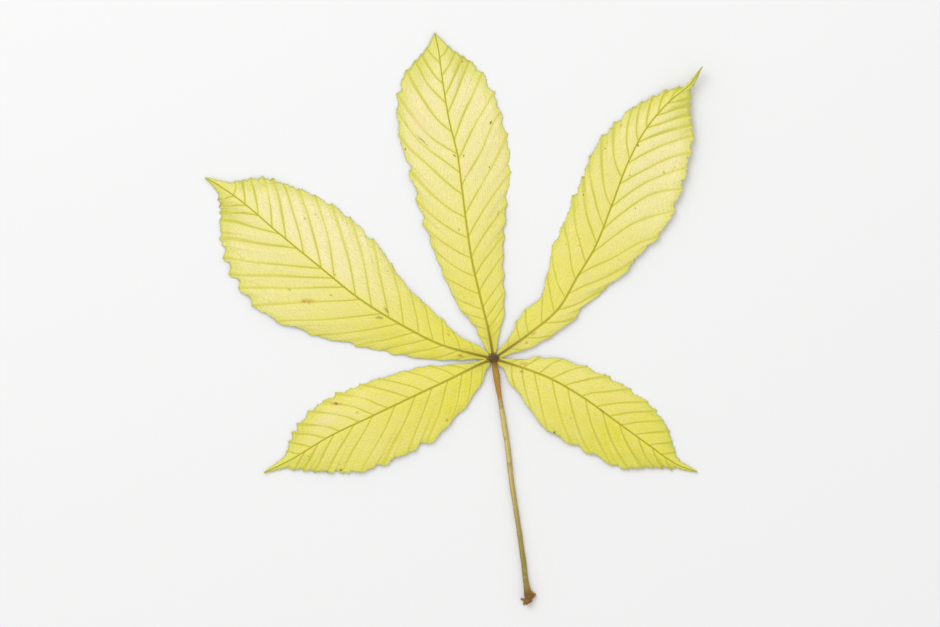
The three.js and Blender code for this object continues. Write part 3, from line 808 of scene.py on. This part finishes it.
def closed_sheet(columns: int, rows: int) -> Array:
    """Join two facing grids of points, top first and then underside, into one closed skin.

    Args:
        columns: how many rings of points run along the sheet.
        rows: how many points run across each, from left to right.

    Returns:
        The four corners of each face.
    """
    top = np.arange(columns * rows).reshape(columns, rows)
    under = top + columns * rows

    def faces(grid: Array) -> Array:
        """Return the faces between a grid's points, seen from above in a left-handed turn."""
        return np.stack([grid[:-1, :-1], grid[:-1, 1:], grid[1:, 1:], grid[1:, :-1]], -1).reshape(-1, 4)

    rim = np.concatenate([top[0, :-1], top[:-1, -1], top[-1, :0:-1], top[:0:-1, 0]])
    following = np.roll(rim, -1)
    drop = columns * rows
    wall = np.stack([rim, rim + drop, following + drop, following], -1)
    return np.concatenate([faces(top), faces(under)[:, ::-1], wall])


def mesh_object(name: str, points: Array, faces: Array, values: Mapping[str, Array],
                crease: float) -> bpy.types.Object:
    """Make a smooth-shaded object from millimetres.

    Args:
        name: the object's name.
        points: its points, in millimetres.
        faces: the corners of each face.
        values: named values that each point holds for the material.
        crease: the angle, in degrees, above which an edge stays sharp.

    Returns:
        The object, in metres and linked to the scene.
    """
    mesh = bpy.data.meshes.new(name)
    mesh.from_pydata((points * MM).tolist(), [], faces.tolist())
    for key, value in values.items():
        layer = mesh.attributes.new(key, "FLOAT", "POINT")
        layer.data.foreach_set("value", value.astype(np.float32))
    mesh.shade_smooth()
    mesh.set_sharp_from_angle(angle=math.radians(crease))
    return stand(name, mesh)


class HalfBlade:
    """One half of a leaflet's blade, to the left or right of its midrib."""

    START, SETBACK = 2.2, 0.4  # where the first vein starts, and how far short of the tip the last
    LEAN = 1.0  # how far beyond its start the first meets the margin
    TOOTH_START, TOOTH_FULL, TOOTH_END = 0.15, 0.55, 0.98
    NOTCH = 0.16  # the notch follows each main tooth's point by this share of a spacing
    FINE_NOTCH = 0.2  # and each fine tooth's by this share of its own

    def __init__(self, plan: LeafletPlan, midrib: PlaneRoute, side: Side) -> None:
        """Work out where the veins of this half leave the midrib and where they end."""
        self.half = plan.left if side is Side.LEFT else plan.right
        self.midrib = midrib
        self.side = side
        self.width = SmoothCurve(self.half.width)
        self.edge = SmoothCurve(self.half.edge)
        self.green = SmoothCurve(self.half.green)
        self.lift = SmoothCurve(plan.lift)
        self.tooth_sway = Ripple(2.6, 0.42, plan.seed + 2 - side.value)
        self.wander = Ripple(6.5, 0.45, plan.seed + 4 - side.value)
        self.vein_sway = Ripple(22, 0.35, plan.seed + 7 - side.value)
        ends = [(self.START, self.START + self.LEAN), *self.half.veins,
                (midrib.length - self.SETBACK, midrib.length)]
        self.margin_of = SmoothCurve(ends)
        self.index_of = SmoothCurve([(root, index) for index, (root, _) in enumerate(ends)])
        self.vein_count = len(ends)

    def bow(self, root: Array) -> Array:
        """Return how far the middle of the vein that leaves here bends outwards."""
        return np.interp(root / self.midrib.length, *np.array(self.half.bow, float).T)

    def tooth(self, root: Array) -> Array:
        """Find how far the saw edge stands out or in.

        Args:
            root: the stations on the midrib that the margin's points belong to.

        Returns:
            The offset from the plain margin, in millimetres.
        """
        index = self.index_of(root)
        share = self.margin_of(root) / self.midrib.length
        fade = ease(share, self.TOOTH_START, self.TOOTH_FULL) * (1 - ease(share, 0.92, self.TOOTH_END))
        main = self.half.tooth_depth * fade * (self._climb(index, self.NOTCH) - 0.6)
        fine_index = index * self.half.fine_teeth
        size = 1 + self.tooth_sway(fine_index)
        fine_fade = (0.25 + 0.75 * fade) * ease(share, 0.06, 0.14) * (1 - ease(share, 0.96, 0.99))
        fine = self._climb(fine_index, self.FINE_NOTCH) - 0.5
        uneven = self.wander(root) * ease(share, 0.03, 0.1) * (1 - ease(share, 0.86, 0.95))
        return main + self.half.fine_depth * fine_fade * size * fine + uneven

    @staticmethod
    def _climb(index: Array, notch: float) -> Array:
        """Return a saw that drops from 1 to 0 over the notch and climbs back to 1."""
        phase = index - np.floor(index)
        return np.where(phase < notch, 1 - phase / notch, (phase - notch) / (1 - notch))

    def key_roots(self) -> Array:
        """Return the stations that the points and notches of all teeth belong to."""
        fine = np.arange((self.vein_count - 1) * self.half.fine_teeth)
        corners = np.concatenate([fine, fine + self.FINE_NOTCH]) / self.half.fine_teeth
        main = np.arange(self.vein_count - 1) + self.NOTCH
        roots = np.linspace(self.START, self.midrib.length - self.SETBACK, 4000)
        return np.interp(np.concatenate([corners, main]), self.index_of(roots), roots)

    def plan_at(self, root: Array, share: Array, tooth: Any = 0.0) -> tuple[Array, Array, Array]:
        """Place points along the veins.

        Args:
            root: the stations where the veins leave the midrib.
            share: how far along its vein each point lies, from the midrib to the margin.
            tooth: how far the saw edge stands out there.

        Returns:
            The points [x, y], their stations along the midrib and their distances out from it.
        """
        margin = self.margin_of(root)
        bend = 2 * share * (1 - share)
        bow = self.bow(root)
        station = lerp(root, margin, bend * (0.5 - bow) + share**2)
        out = (self.width(margin) + tooth) * (bend * (0.5 + bow) + share**2)
        plan = self.midrib.at(station) + self.side.value * out[..., None] * self.midrib.left_of(station)
        return plan, station, out


@dataclass(frozen=True)
class Leaflet:
    """One leaflet: a thin sheet folded along its midrib, quilted between its veins."""

    plan: LeafletPlan
    column_gap: float = 0.5
    column_least: float = 0.05
    rib_rows: int = 6
    panel_rows: int = 25
    margin_rim: float = 0.3
    thickness: tuple[float, float] = (0.24, 0.13)  # beside the midrib and at the margin
    rib_half_width: tuple[float, float] = (0.8, 0.28)  # at the base and at the tip
    rib_rise: tuple[float, float] = (0.38, 0.12)
    rib_depth: tuple[float, float] = (1.5, 0.2)
    vein_groove: float = 0.06
    vein_ridge: float = 0.18
    quilting: float = 0.2
    edge_wave: float = 0.25
    sag_wave: float = 0.35
    sag_length: float = 46.0
    dimple: float = 0.09
    dimple_length: float = 7.5
    flutter: float = 0.07  # between the fine teeth
    vein_half_width: tuple[float, float] = (0.55, 0.3)  # beside the midrib and at the margin
    shoulder_dip: float = 0.1  # the hollows that run beside the midrib
    settling: float = 0.12  # how softly it comes down onto the floor
    stance: tuple[float, float] = (0.55, 0.85)  # the midrib's height near the hub and beyond, of its plan
    edge_stance: float = 0.5  # and the margins'
    clearance: float = 0.04

    def half(self, side: Side) -> HalfBlade:
        """Return one half of the blade."""
        return HalfBlade(self.plan, PlaneRoute(self.plan.midrib), side)

    def columns(self) -> Array:
        """Return the stations where the sheet's rings of points start: at each tooth and between."""
        midrib = PlaneRoute(self.plan.midrib)
        keys = np.concatenate([self.half(side).key_roots() for side in Side])
        start, end = HalfBlade.START, midrib.length - HalfBlade.SETBACK
        keys = np.sort(keys[(keys > start + self.column_least) & (keys < end - self.column_least)])
        spaced = [start]
        for key in [*keys, end]:
            gap = key - spaced[-1]
            if gap < self.column_least:
                continue
            steps = math.ceil(gap / self.column_gap)
            spaced.extend([spaced[-1] + gap * step / steps for step in range(1, steps + 1)])
        return np.array(spaced)

    def rows(self, half: HalfBlade, roots: Array) -> Array:
        """Share each ring's points out along the vein, closest together on the midrib.

        Args:
            half: the half of the blade.
            roots: the stations where the rings start.

        Returns:
            For each ring, the shares of the way from the midrib to the margin.
        """
        width = half.width(half.margin_of(roots)) * (1 + 2 * half.bow(roots))
        rib = lerp(*self.rib_half_width, roots / half.midrib.length)
        inner = np.minimum(0.4, 1.6 * rib / width)[:, None]
        rim = 1 - np.minimum(0.1, self.margin_rim / width)[:, None]
        near = inner * np.arange(self.rib_rows) / self.rib_rows
        far = lerp(inner, rim, np.linspace(0, 1, self.panel_rows))
        return np.concatenate([near, far, np.ones_like(rim)], axis=1)

    def half_sheet(self, side: Side, roots: Array) -> dict[str, Array]:
        """Work out everything about one half of the blade.

        Args:
            side: which half.
            roots: the stations where the rings start.

        Returns:
            Arrays of rings by rows: the plan, the top's and underside's heights, and the values
            that the skin's colours follow.
        """
        half = self.half(side)
        share = self.rows(half, roots)
        root = np.repeat(roots[:, None], share.shape[1], axis=1)
        margin = half.margin_of(root)
        length = half.midrib.length
        plan, station, out = half.plan_at(root, share, half.tooth(root))
        smooth, _, _ = half.plan_at(root, share)
        index = half.index_of(root) + half.vein_sway(root, share * 30) / 9 * share * (1 - share) * 4
        pitch = self._pitch(smooth, half.index_of(roots), share)
        run = self._run(smooth)
        slope = np.gradient(half.width(margin), axis=0) / np.maximum(np.gradient(margin, axis=0), 1e-6)
        edge_gap = (half.width(margin) + half.tooth(root) - out) / np.sqrt(1 + np.clip(slope, -3, 3)**2)
        values = {"rib_gap": out, "edge_gap": np.maximum(edge_gap, 0), "vein_index": index,
                  "vein_pitch": pitch, "vein_run": run, "along": station / length,
                  "green": half.green(station / length), "fork": 0.45 * np.maximum(share - 0.78, 0) / 0.22}
        lift = half.lift(station / length) * lerp(*self.stance, ease(station / length, 0.1, 0.6))
        middle = lerp(lift, half.edge(margin / length) * self.edge_stance, share**2)
        top, under = self._relief(half, middle, plan, share, values)
        return {"plan": plan, "top": top, "under": under, **values}

    @staticmethod
    def _pitch(plan: Array, index: Array, share: Array) -> Array:
        """Return the distance between neighbouring veins, square to them, at each point."""
        ahead = np.gradient(plan, axis=0) / np.gradient(index)[:, None, None]
        outward = np.gradient(plan, axis=1)
        outward /= np.maximum(np.linalg.norm(outward, axis=-1, keepdims=True), 1e-9)
        return np.abs(ahead[..., 0] * outward[..., 1] - ahead[..., 1] * outward[..., 0])

    @staticmethod
    def _run(plan: Array) -> Array:
        """Return the length along its vein of each point."""
        steps = np.linalg.norm(np.diff(plan, axis=1), axis=-1)
        return np.concatenate([np.zeros((len(plan), 1)), np.cumsum(steps, axis=1)], axis=1)

    def _relief(self, half: HalfBlade, middle: Array, plan: Array, share: Array,
                values: Mapping[str, Array]) -> tuple[Array, Array]:
        """Shape the sheet's two faces.

        Args:
            half: the half of the blade.
            middle: the plain height of the underside.
            plan: the points [x, y].
            share: how far along its vein each point lies.
            values: the distances to the midrib, veins and margin.

        Returns:
            The heights of the top and of the underside.
        """
        along = values["along"]
        seed = self.plan.seed
        phase = values["vein_index"] - np.floor(values["vein_index"])
        vein_gap = (0.5 - np.abs(phase - 0.5)) * values["vein_pitch"]
        broad = ease(values["rib_gap"] + values["edge_gap"], 3, 14)
        settled = ease(along, 0.03, 0.16) * (1 - ease(along, 0.9, 1))
        swell = (0.5 - 0.5 * np.cos(2 * math.pi * phase))**0.8 * np.sin(math.pi * np.clip(share, 0, 1))**0.6
        fine_phase = values["vein_index"] * half.half.fine_teeth
        crimp = self.edge_wave * share**5 * np.sin(2 * math.pi * values["vein_index"] / 1.9 + seed)
        flutter = self.flutter * share**12 * np.sin(2 * math.pi * fine_phase)
        sag = Ripple(self.sag_length, self.sag_wave, seed)(plan[..., 0], plan[..., 1]) * ease(share, 0.0, 0.7)
        small = Ripple(self.dimple_length, self.dimple, seed + 1)(plan[..., 0], plan[..., 1])
        middle = middle + broad * (self.quilting * swell + crimp + flutter + sag + small) * settled

        rib_share = np.abs(values["rib_gap"]) / lerp(*self.rib_half_width, along)
        dome = np.clip(1 - rib_share**2, 0, 1)**0.7
        shoulder = np.exp(-((rib_share - 1.35) / 0.5)**2)
        line = np.exp(-(vein_gap / lerp(*self.vein_half_width, share))**2)
        line = line * ease(values["edge_gap"], 0, 2) * broad
        thick = lerp(*self.thickness, share**2)
        keel = np.exp(-(rib_share / 1.1)**4) * lerp(*self.rib_depth, np.sqrt(along))
        under = middle - keel
        room = under - self.clearance
        raised = 0.5 * (np.sqrt(room**2 + self.settling) - room)
        sunk = self.shoulder_dip * shoulder + self.vein_groove * line
        top = middle + thick + lerp(*self.rib_rise, along) * dome - sunk
        ridged = under + raised - self.vein_ridge * line * (1 - 0.6 * share)
        return top + raised, np.maximum(ridged, self.clearance)

    def build(self) -> tuple[Array, Array, dict[str, Array]]:
        """Grow the whole leaflet.

        Returns:
            Its points in millimetres from the hub, its faces and the values that its skin follows.
        """
        roots = self.columns()
        left = self.half_sheet(Side.LEFT, roots)
        right = self.half_sheet(Side.RIGHT, roots)
        whole = {key: np.concatenate([left[key][:, :0:-1], right[key]], axis=1) for key in left}
        faces = closed_sheet(*whole["top"].shape)
        top = np.concatenate([whole["plan"], whole["top"][..., None]], axis=-1).reshape(-1, 3)
        under = np.concatenate([whole["plan"], whole["under"][..., None]], axis=-1).reshape(-1, 3)
        values = {key: np.tile(whole[key].ravel(), 2) for key in whole if key not in ("plan", "top", "under")}
        values["under"] = np.repeat([0.0, 1.0], len(top))
        return np.concatenate([top, under]), faces, values

    def place(self, grown: tuple[Array, Array, dict[str, Array]], hub: Array,
              finish: BladeFinish) -> bpy.types.Object:
        """Set the grown leaflet in the frame and dress it.

        Args:
            grown: what build returned.
            hub: the middle of the hub.
            finish: the blade's finish.

        Returns:
            The leaflet's object.
        """
        points, faces, values = grown
        made = mesh_object(self.plan.name + "_blade", points + hub, faces, values, crease=62)
        made.data.materials.append(finish.dress(self.plan, hub))
        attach(made, "root")
        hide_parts(self.plan.name)
        return made


# ---- Stalk ----


def tube(path: Array, radii: Array, sides: int = 28) -> tuple[Array, Array]:
    """Sweep a round section, level with the floor, along a path.

    Args:
        path: the middles of the rings.
        radii: the rings' [half-width, half-height].
        sides: how many points each ring has.

    Returns:
        The points and the four-cornered faces of the closed tube.
    """
    ahead = np.gradient(path, axis=0)
    ahead /= np.linalg.norm(ahead, axis=1, keepdims=True)
    across = np.cross(ahead, [0.0, 0.0, 1.0])
    across /= np.linalg.norm(across, axis=1, keepdims=True)
    above = np.cross(across, ahead)
    angles = 2 * math.pi * np.arange(sides) / sides
    circle = np.stack([np.cos(angles), np.sin(angles)], -1)
    offsets = (across[:, None] * circle[:, :1] * radii[:, None, :1]
               + above[:, None] * circle[:, 1:] * radii[:, None, 1:])
    rings = path[:, None] + offsets
    index = np.arange(len(path) * sides).reshape(len(path), sides)
    beside = np.roll(index, -1, axis=1)
    skin = np.stack([index[:-1], beside[:-1], beside[1:], index[1:]], -1).reshape(-1, 4)
    points = np.concatenate([rings.reshape(-1, 3), path[:1], path[-1:]])
    first, last = len(points) - 2, len(points) - 1
    start = np.stack([np.full(sides, first), beside[0], index[0], index[0]], -1)
    end = np.stack([np.full(sides, last), index[-1], beside[-1], beside[-1]], -1)
    return points, np.concatenate([skin, start, end])


@dataclass(frozen=True)
class Petiole:
    """The stalk: a grooved shaft with a knuckle where the leaflets sit and a torn, swollen foot."""

    route: Points = ((-0.3, 2.5), (0, 0), (1.5, -9), (3.3, -20.8), (5, -30.8), (7.3, -45.8), (9, -60.8),
                     (12, -80.8), (14.9, -100.8), (16.1, -110.8), (17.2, -117.2), (18, -122.4))
    half_width: Points = ((0, 0.7), (0.008, 1.3), (0.02, 1.7), (0.034, 1.5), (0.045, 1.2), (0.07, 1.6),
                          (0.1, 1.6), (0.14, 1.3), (0.175, 1.1), (0.22, 1.15), (0.27, 1.3), (0.4, 1.25),
                          (0.7, 1.2), (0.85, 1.3), (0.93, 1.5), (0.97, 2), (1, 1.8))
    height: Points = ((0, 2.2), (0.02, 2.2), (0.1, 2), (0.27, 1.3))
    foot_width: float = 4.4
    cut_slant: float = -1.8  # how much further the foot's end reaches on the left than on the right
    ridge: float = 0.05
    groove: float = 0.16
    crease: float = 0.1
    ring: float = 0.06
    bumpiness: float = 0.06
    pore: float = 0.09
    voxel: float = 0.17
    pore_count: int = 90
    joint_reach: float = 5.5
    seed: int = 71

    def shaft(self) -> tuple[Array, Array]:
        """Return the shaft's tube, from the hub's far side to the foot."""
        line = PlaneRoute(self.route)
        share = np.linspace(0, 1, 420)
        radius = SmoothCurve(self.half_width)(share)
        raised = SmoothCurve(self.height)(share)
        axis = np.where(share < self.height[-1][0], raised, radius)
        plan = line.at(share * line.length)
        path = np.column_stack([plan, axis])
        points, faces = tube(path, np.column_stack([radius, radius]))
        return self._cut(points), faces

    def _cut(self, points: Array) -> Array:
        """Return the points with the foot's end slanted across the stalk."""
        line = PlaneRoute(self.route)
        foot = line.at(np.array([line.length]))[0]
        left = line.left_of(np.array([line.length]))[0]
        ahead = np.array([left[1], -left[0]])
        offset = points[:, :2] - foot
        sideways = offset @ left
        nearness = ease(offset @ ahead, -2.5, 0)
        shifted = points.copy()
        shifted[:, :2] += (nearness * sideways * self.cut_slant / self.foot_width)[:, None] * ahead
        return shifted

    def knuckle(self) -> list[tuple[Array, Array]]:
        """Return the hub's parts: a lumpy knob and one joint for each leaflet."""
        parts = [blob((0.1, 0.1, 2.1), (1.6, 1.4, 1.5)), blob((-1.3, -0.4, 2.1), (1.1, 0.8, 1.2)),
                 blob((1.4, 0.4, 2.2), (0.9, 0.8, 1.2)), blob((0.2, -1.5, 2), (1, 1.3, 1.3)),
                 blob((-0.5, 0.8, 2.4), (0.8, 0.7, 1.3)), blob((0.7, -0.4, 2.5), (0.8, 0.7, 1.2))]
        for plan in LEAFLET_PLANS:
            midrib = PlaneRoute(plan.midrib)
            stations = np.linspace(0.4, self.joint_reach, 12)
            flat = midrib.at(stations)
            share = stations / self.joint_reach
            path = np.column_stack([flat, lerp(2.1, 1.75, share)])
            radii = np.column_stack([lerp(1, 0.55, share), lerp(1.2, 0.75, share)])
            radii *= np.sqrt(np.clip(1 - np.clip((share - 0.7) / 0.3, 0, 0.97)**2, 0, 1))[:, None]
            parts.append(tube(path, radii, 20))
        return parts

    def scraps(self) -> list[tuple[Array, Array]]:
        """Return the torn scraps of bark that stay on the foot."""
        shapes = [
            [(17.2, -120.4, 1.6, 1.3, 0.9), (15.6, -120.8, 1.3, 0.8, 0.6), (14.3, -120.6, 1.0, 0.5, 0.4),
             (13.6, -120.3, 0.8, 0.25, 0.25)],
            [(17.0, -121.0, 1.3, 1.2, 0.8), (15.8, -122.2, 0.9, 0.7, 0.5), (15.0, -123.4, 0.6, 0.3, 0.3)],
            [(17.9, -118.6, 2.0, 1.8, 1.0), (19.4, -118.4, 1.9, 1.6, 0.8), (20.5, -118.1, 1.7, 1.2, 0.6),
             (21.1, -117.7, 1.6, 0.6, 0.3)],
            [(18.6, -117.4, 2.4, 0.8, 0.6), (19.4, -116.8, 2.4, 0.6, 0.4), (19.9, -116.4, 2.3, 0.25, 0.2)],
        ]
        parts = []
        for shape in shapes:
            corners = np.array(shape)
            steps = np.linspace(0, len(shape) - 1, 14)
            drawn = np.stack([np.interp(steps, range(len(shape)), column) for column in corners.T], -1)
            parts.append(tube(drawn[:, :3], drawn[:, 3:], 16))
        return parts

    def skin(self) -> tuple[Array, Array]:
        """Melt all parts into one closed skin.

        Returns:
            The points in millimetres from the hub, and the faces.
        """
        parts = [self.shaft(), *self.knuckle(), *self.scraps()]
        mesh = bpy.data.meshes.new("melt")
        offset = 0
        points, faces = [], []
        for part_points, part_faces in parts:
            points.append(part_points)
            faces.extend([list(dict.fromkeys(face)) for face in (part_faces + offset).tolist()])
            offset += len(part_points)
        mesh.from_pydata(np.concatenate(points).tolist(), [], faces)
        rough = stand("melt", mesh)
        remesh = rough.modifiers.new("melt", "REMESH")
        remesh.mode = "VOXEL"
        remesh.voxel_size = self.voxel
        smooth = rough.modifiers.new("soften", "SMOOTH")
        smooth.factor = 0.5
        smooth.iterations = 5
        melted = rough.evaluated_get(bpy.context.evaluated_depsgraph_get()).to_mesh()
        corners = np.zeros(len(melted.vertices) * 3)
        melted.vertices.foreach_get("co", corners)
        quads = np.array([polygon.vertices[:] for polygon in melted.polygons])
        bpy.data.objects.remove(rough)
        bpy.data.meshes.remove(mesh)
        return corners.reshape(-1, 3), quads

    def survey(self, points: Array) -> dict[str, Array]:
        """Say where each point of the skin lies on the stalk.

        Args:
            points: the skin's points, in millimetres from the hub.

        Returns:
            The share along the stalk, the angle around it from the top, and how much each point
            belongs to the hub, to a leaflet's joint, to the scar under the foot and to the torn scraps.
        """
        line = PlaneRoute(self.route)
        stations = np.linspace(0, line.length, 900)
        path = line.at(stations)
        gaps = ((points[:, None, :2] - path[None])**2).sum(-1)
        nearest = np.argmin(gaps, axis=1)
        along = stations[nearest] / line.length
        left = line.left_of(stations[nearest])
        sideways = ((points[:, :2] - path[nearest]) * left).sum(-1)
        axis = np.where(along < self.height[-1][0], SmoothCurve(self.height)(along),
                        SmoothCurve(self.half_width)(along))
        around = np.arctan2(-sideways, points[:, 2] - axis)
        reach = np.hypot(points[:, 0], points[:, 1])
        hub = 1 - ease(reach + np.clip(-points[:, 1], 0, 9) * 0.3, 1.6, 4)
        ahead = np.stack([left[:, 1], -left[:, 0]], -1)
        overrun = ((points[:, :2] - path[-1]) * ahead).sum(-1)
        scar = ease(overrun - sideways * self.cut_slant / self.foot_width, -0.25, 0.05)
        beside = (points[:, 1] > -1.2) | (np.abs(sideways) > 1.9)
        joint = ease(reach, 1.2, 2.6) * beside * (points[:, 1] > -8)
        scrap = ease(np.abs(sideways), 1.5, 2.3) * (along > 0.9)
        return {"along": along, "around": around, "hub": hub, "joint": joint, "scar": scar, "scrap": scrap}

    def texture(self, points: Array, normals: Array, values: dict[str, Array]) -> Array:
        """Carve the skin: ridges and a groove along the shaft, creases at the hub, and pores.

        Args:
            points: the skin's points.
            normals: the directions that they face.
            values: what survey returned; the pores are added to it.

        Returns:
            The carved points.
        """
        x, y, z = points.T
        along, around, hub = values["along"], values["around"], values["hub"]
        shaft = (1 - hub) * (1 - values["scar"])
        ridges = self.ridge * np.cos(7 * around + Ripple(30, 0.8, self.seed)(y, along)) * shaft
        groove = np.exp(-(around / 0.3)**2) * ease(along, 0.04, 0.1) * (1 - ease(along, 0.3, 0.7))
        creases = Ripple(1.1, self.crease, self.seed + 1)(x, y, z) * (hub + 0.5 * ease(along, 0.93, 0.97))
        rings = self.ring * np.sin(along * 700) * np.exp(-((along - 0.05) / 0.018)**2)
        unevenness = Ripple(5.5, self.bumpiness, self.seed + 2)(x, y, z)
        values["pore"] = self._pores(values)
        lift = ridges - self.groove * groove + creases + rings + unevenness + self.pore * values["pore"]
        carved = points + normals * lift[:, None]
        carved[:, 2] = np.maximum(carved[:, 2], 0.02)
        return carved

    def _pores(self, values: Mapping[str, Array]) -> Array:
        """Return 1 on the small corky pores that are scattered over the shaft, and 0 elsewhere."""
        rng = np.random.default_rng(self.seed + 3)
        length = PlaneRoute(self.route).length
        pores = np.zeros(len(values["along"]))
        for _ in range(self.pore_count):
            along, around = rng.uniform(0.07, 0.96), rng.uniform(-math.pi, math.pi)
            half_length, half_width = rng.uniform(0.35, 0.8), rng.uniform(0.16, 0.26)
            turn = (values["around"] - around + math.pi) % (2 * math.pi) - math.pi
            distance = np.hypot((values["along"] - along) * length / half_length, turn * 1.3 / half_width)
            pores = np.maximum(pores, 1 - ease(distance, 0.5, 1.2))
        return pores

    def place(self, hub: Array, finish: StalkFinish) -> bpy.types.Object:
        """Grow the stalk, set it in the frame and dress it.

        Args:
            hub: the middle of the hub.
            finish: the stalk's finish.

        Returns:
            The stalk's object.
        """
        points, faces = self.skin()
        plain = bpy.data.meshes.new("plain")
        plain.from_pydata(points.tolist(), [], faces.tolist())
        normals = np.zeros(len(points) * 3)
        plain.vertex_normals.foreach_get("vector", normals)
        bpy.data.meshes.remove(plain)
        values = self.survey(points)
        carved = self.texture(points, normals.reshape(-1, 3), values)
        made = mesh_object("stalk", carved + hub, faces, values, crease=80)
        made.data.materials.append(finish.dress())
        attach(made, "root")
        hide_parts("petiole")
        return made


def blob(middle: Colour, radii: Colour, rings: int = 14) -> tuple[Array, Array]:
    """Return a closed ellipsoid.

    Args:
        middle: its middle.
        radii: its half-sizes along x, y and z.
        rings: how many rings of points it has.

    Returns:
        The points and faces.
    """
    angle = np.linspace(0.02, math.pi - 0.02, rings)
    path = np.column_stack([-np.cos(angle) * radii[0], np.zeros(rings), np.zeros(rings)]) + middle
    return tube(path, np.column_stack([np.sin(angle) * radii[1], np.sin(angle) * radii[2]]), 20)


# ---- Studio ----


@dataclass(frozen=True)
class Lamp:
    """A square soft light that looks at a point on the floor. Metres and watts."""

    name: str
    place: Colour
    size: float
    power: float
    colour: Colour = (1.0, 1.0, 1.0)

    def build(self) -> bpy.types.Object:
        """Hang the light."""
        data = bpy.data.lights.new(self.name, "AREA")
        data.shape = "SQUARE"
        data.size = self.size
        data.energy = self.power
        data.color = self.colour
        lamp = stand(self.name, data)
        lamp.location = self.place
        lamp.rotation_euler = (-lamp.location).to_track_quat("-Z", "Y").to_euler()
        return lamp


@dataclass(frozen=True)
class Studio:
    """A white floor, soft light from the far left and a camera straight above. Metres."""

    view_width: float = 0.47
    view_middle: tuple[float, float] = (0.0082, 0.0021)
    lens: float = 135.0
    sensor: float = 36.0
    focus_height: float = 0.003
    floor_reach: float = 4.0
    floor_colour: Colour = (0.83, 0.83, 0.828)
    sky: float = 0.85
    lamps: tuple[Lamp, ...] = (Lamp("key", (-0.6, 1.15, 1.5), 1.3, 14.5),)

    def build(self) -> None:
        """Set up the camera, the floor, the lamps and the sky."""
        self._camera()
        self._floor()
        for lamp in self.lamps:
            lamp.build()
        self._sky()
        bpy.context.scene.view_settings.view_transform = "Standard"

    def _camera(self) -> None:
        """Hang the camera straight above the leaf."""
        data = bpy.data.cameras.new("camera")
        data.lens = self.lens
        data.sensor_width = self.sensor
        data.clip_end = 20.0
        camera = stand("camera", data)
        distance = self.view_width * self.lens / self.sensor
        camera.location = (*self.view_middle, self.focus_height + distance)
        bpy.context.scene.camera = camera

    def _floor(self) -> None:
        """Lay the floor."""
        mesh = bpy.data.meshes.new("floor")
        reach = self.floor_reach
        mesh.from_pydata([(-reach, -reach, 0), (reach, -reach, 0), (reach, reach, 0), (-reach, reach, 0)],
                         [], [(0, 1, 2, 3)])
        floor = stand("floor", mesh)
        s = Shader("floor_paint")
        surface = s.node("ShaderNodeBsdfPrincipled", {},
                         {"Base Color": self.floor_colour, "Roughness": 0.85, "Specular IOR Level": 0.1})
        mesh.materials.append(s.finish(s.out(surface)))

    def _sky(self) -> None:
        """Fill the room with even light."""
        world = bpy.data.worlds.new("room")
        world.use_nodes = True
        world.node_tree.nodes["Background"].inputs["Color"].default_value = (1.0, 1.0, 1.0, 1.0)
        world.node_tree.nodes["Background"].inputs["Strength"].default_value = self.sky
        bpy.context.scene.world = world


# ---- The whole leaf ----


def find_hub(grown: Mapping[str, Array]) -> Array:
    """Find where the frame has the middle of the hub, from the two leaflet tips that reach furthest.

    Args:
        grown: each leaflet's points in millimetres from the hub, by name.

    Returns:
        The hub's middle on the floor, in millimetres.
    """
    low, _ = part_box(UPPER_LEFT.name)
    _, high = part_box(MIDDLE.name)
    left = low.x / MM - grown[UPPER_LEFT.name][:, 0].min()
    far = high.y / MM - grown[MIDDLE.name][:, 1].max()
    return np.array([left, far, 0.0])


def write_sizes() -> None:
    """Bring the objects' placements in the scene up to date."""
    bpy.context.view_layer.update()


def main() -> None:
    """Build the studio and every piece of the leaf."""
    logging.basicConfig(level=logging.INFO, format="%(message)s")
    Studio().build()
    leaflets = [Leaflet(plan) for plan in LEAFLET_PLANS]
    grown = {leaflet.plan.name: leaflet.build() for leaflet in leaflets}
    hub = find_hub({name: parts[0] for name, parts in grown.items()})
    log.info("hub at %.3f, %.3f mm", hub[0], hub[1])
    for leaflet in leaflets:
        made = leaflet.place(grown[leaflet.plan.name], hub, BladeFinish())
        log.info("%s: %d faces", made.name, len(made.data.polygons))
    stalk = Petiole().place(hub, StalkFinish())
    log.info("%s: %d faces", stalk.name, len(stalk.data.polygons))
    write_sizes()


if __name__ == "__main__":
    main()
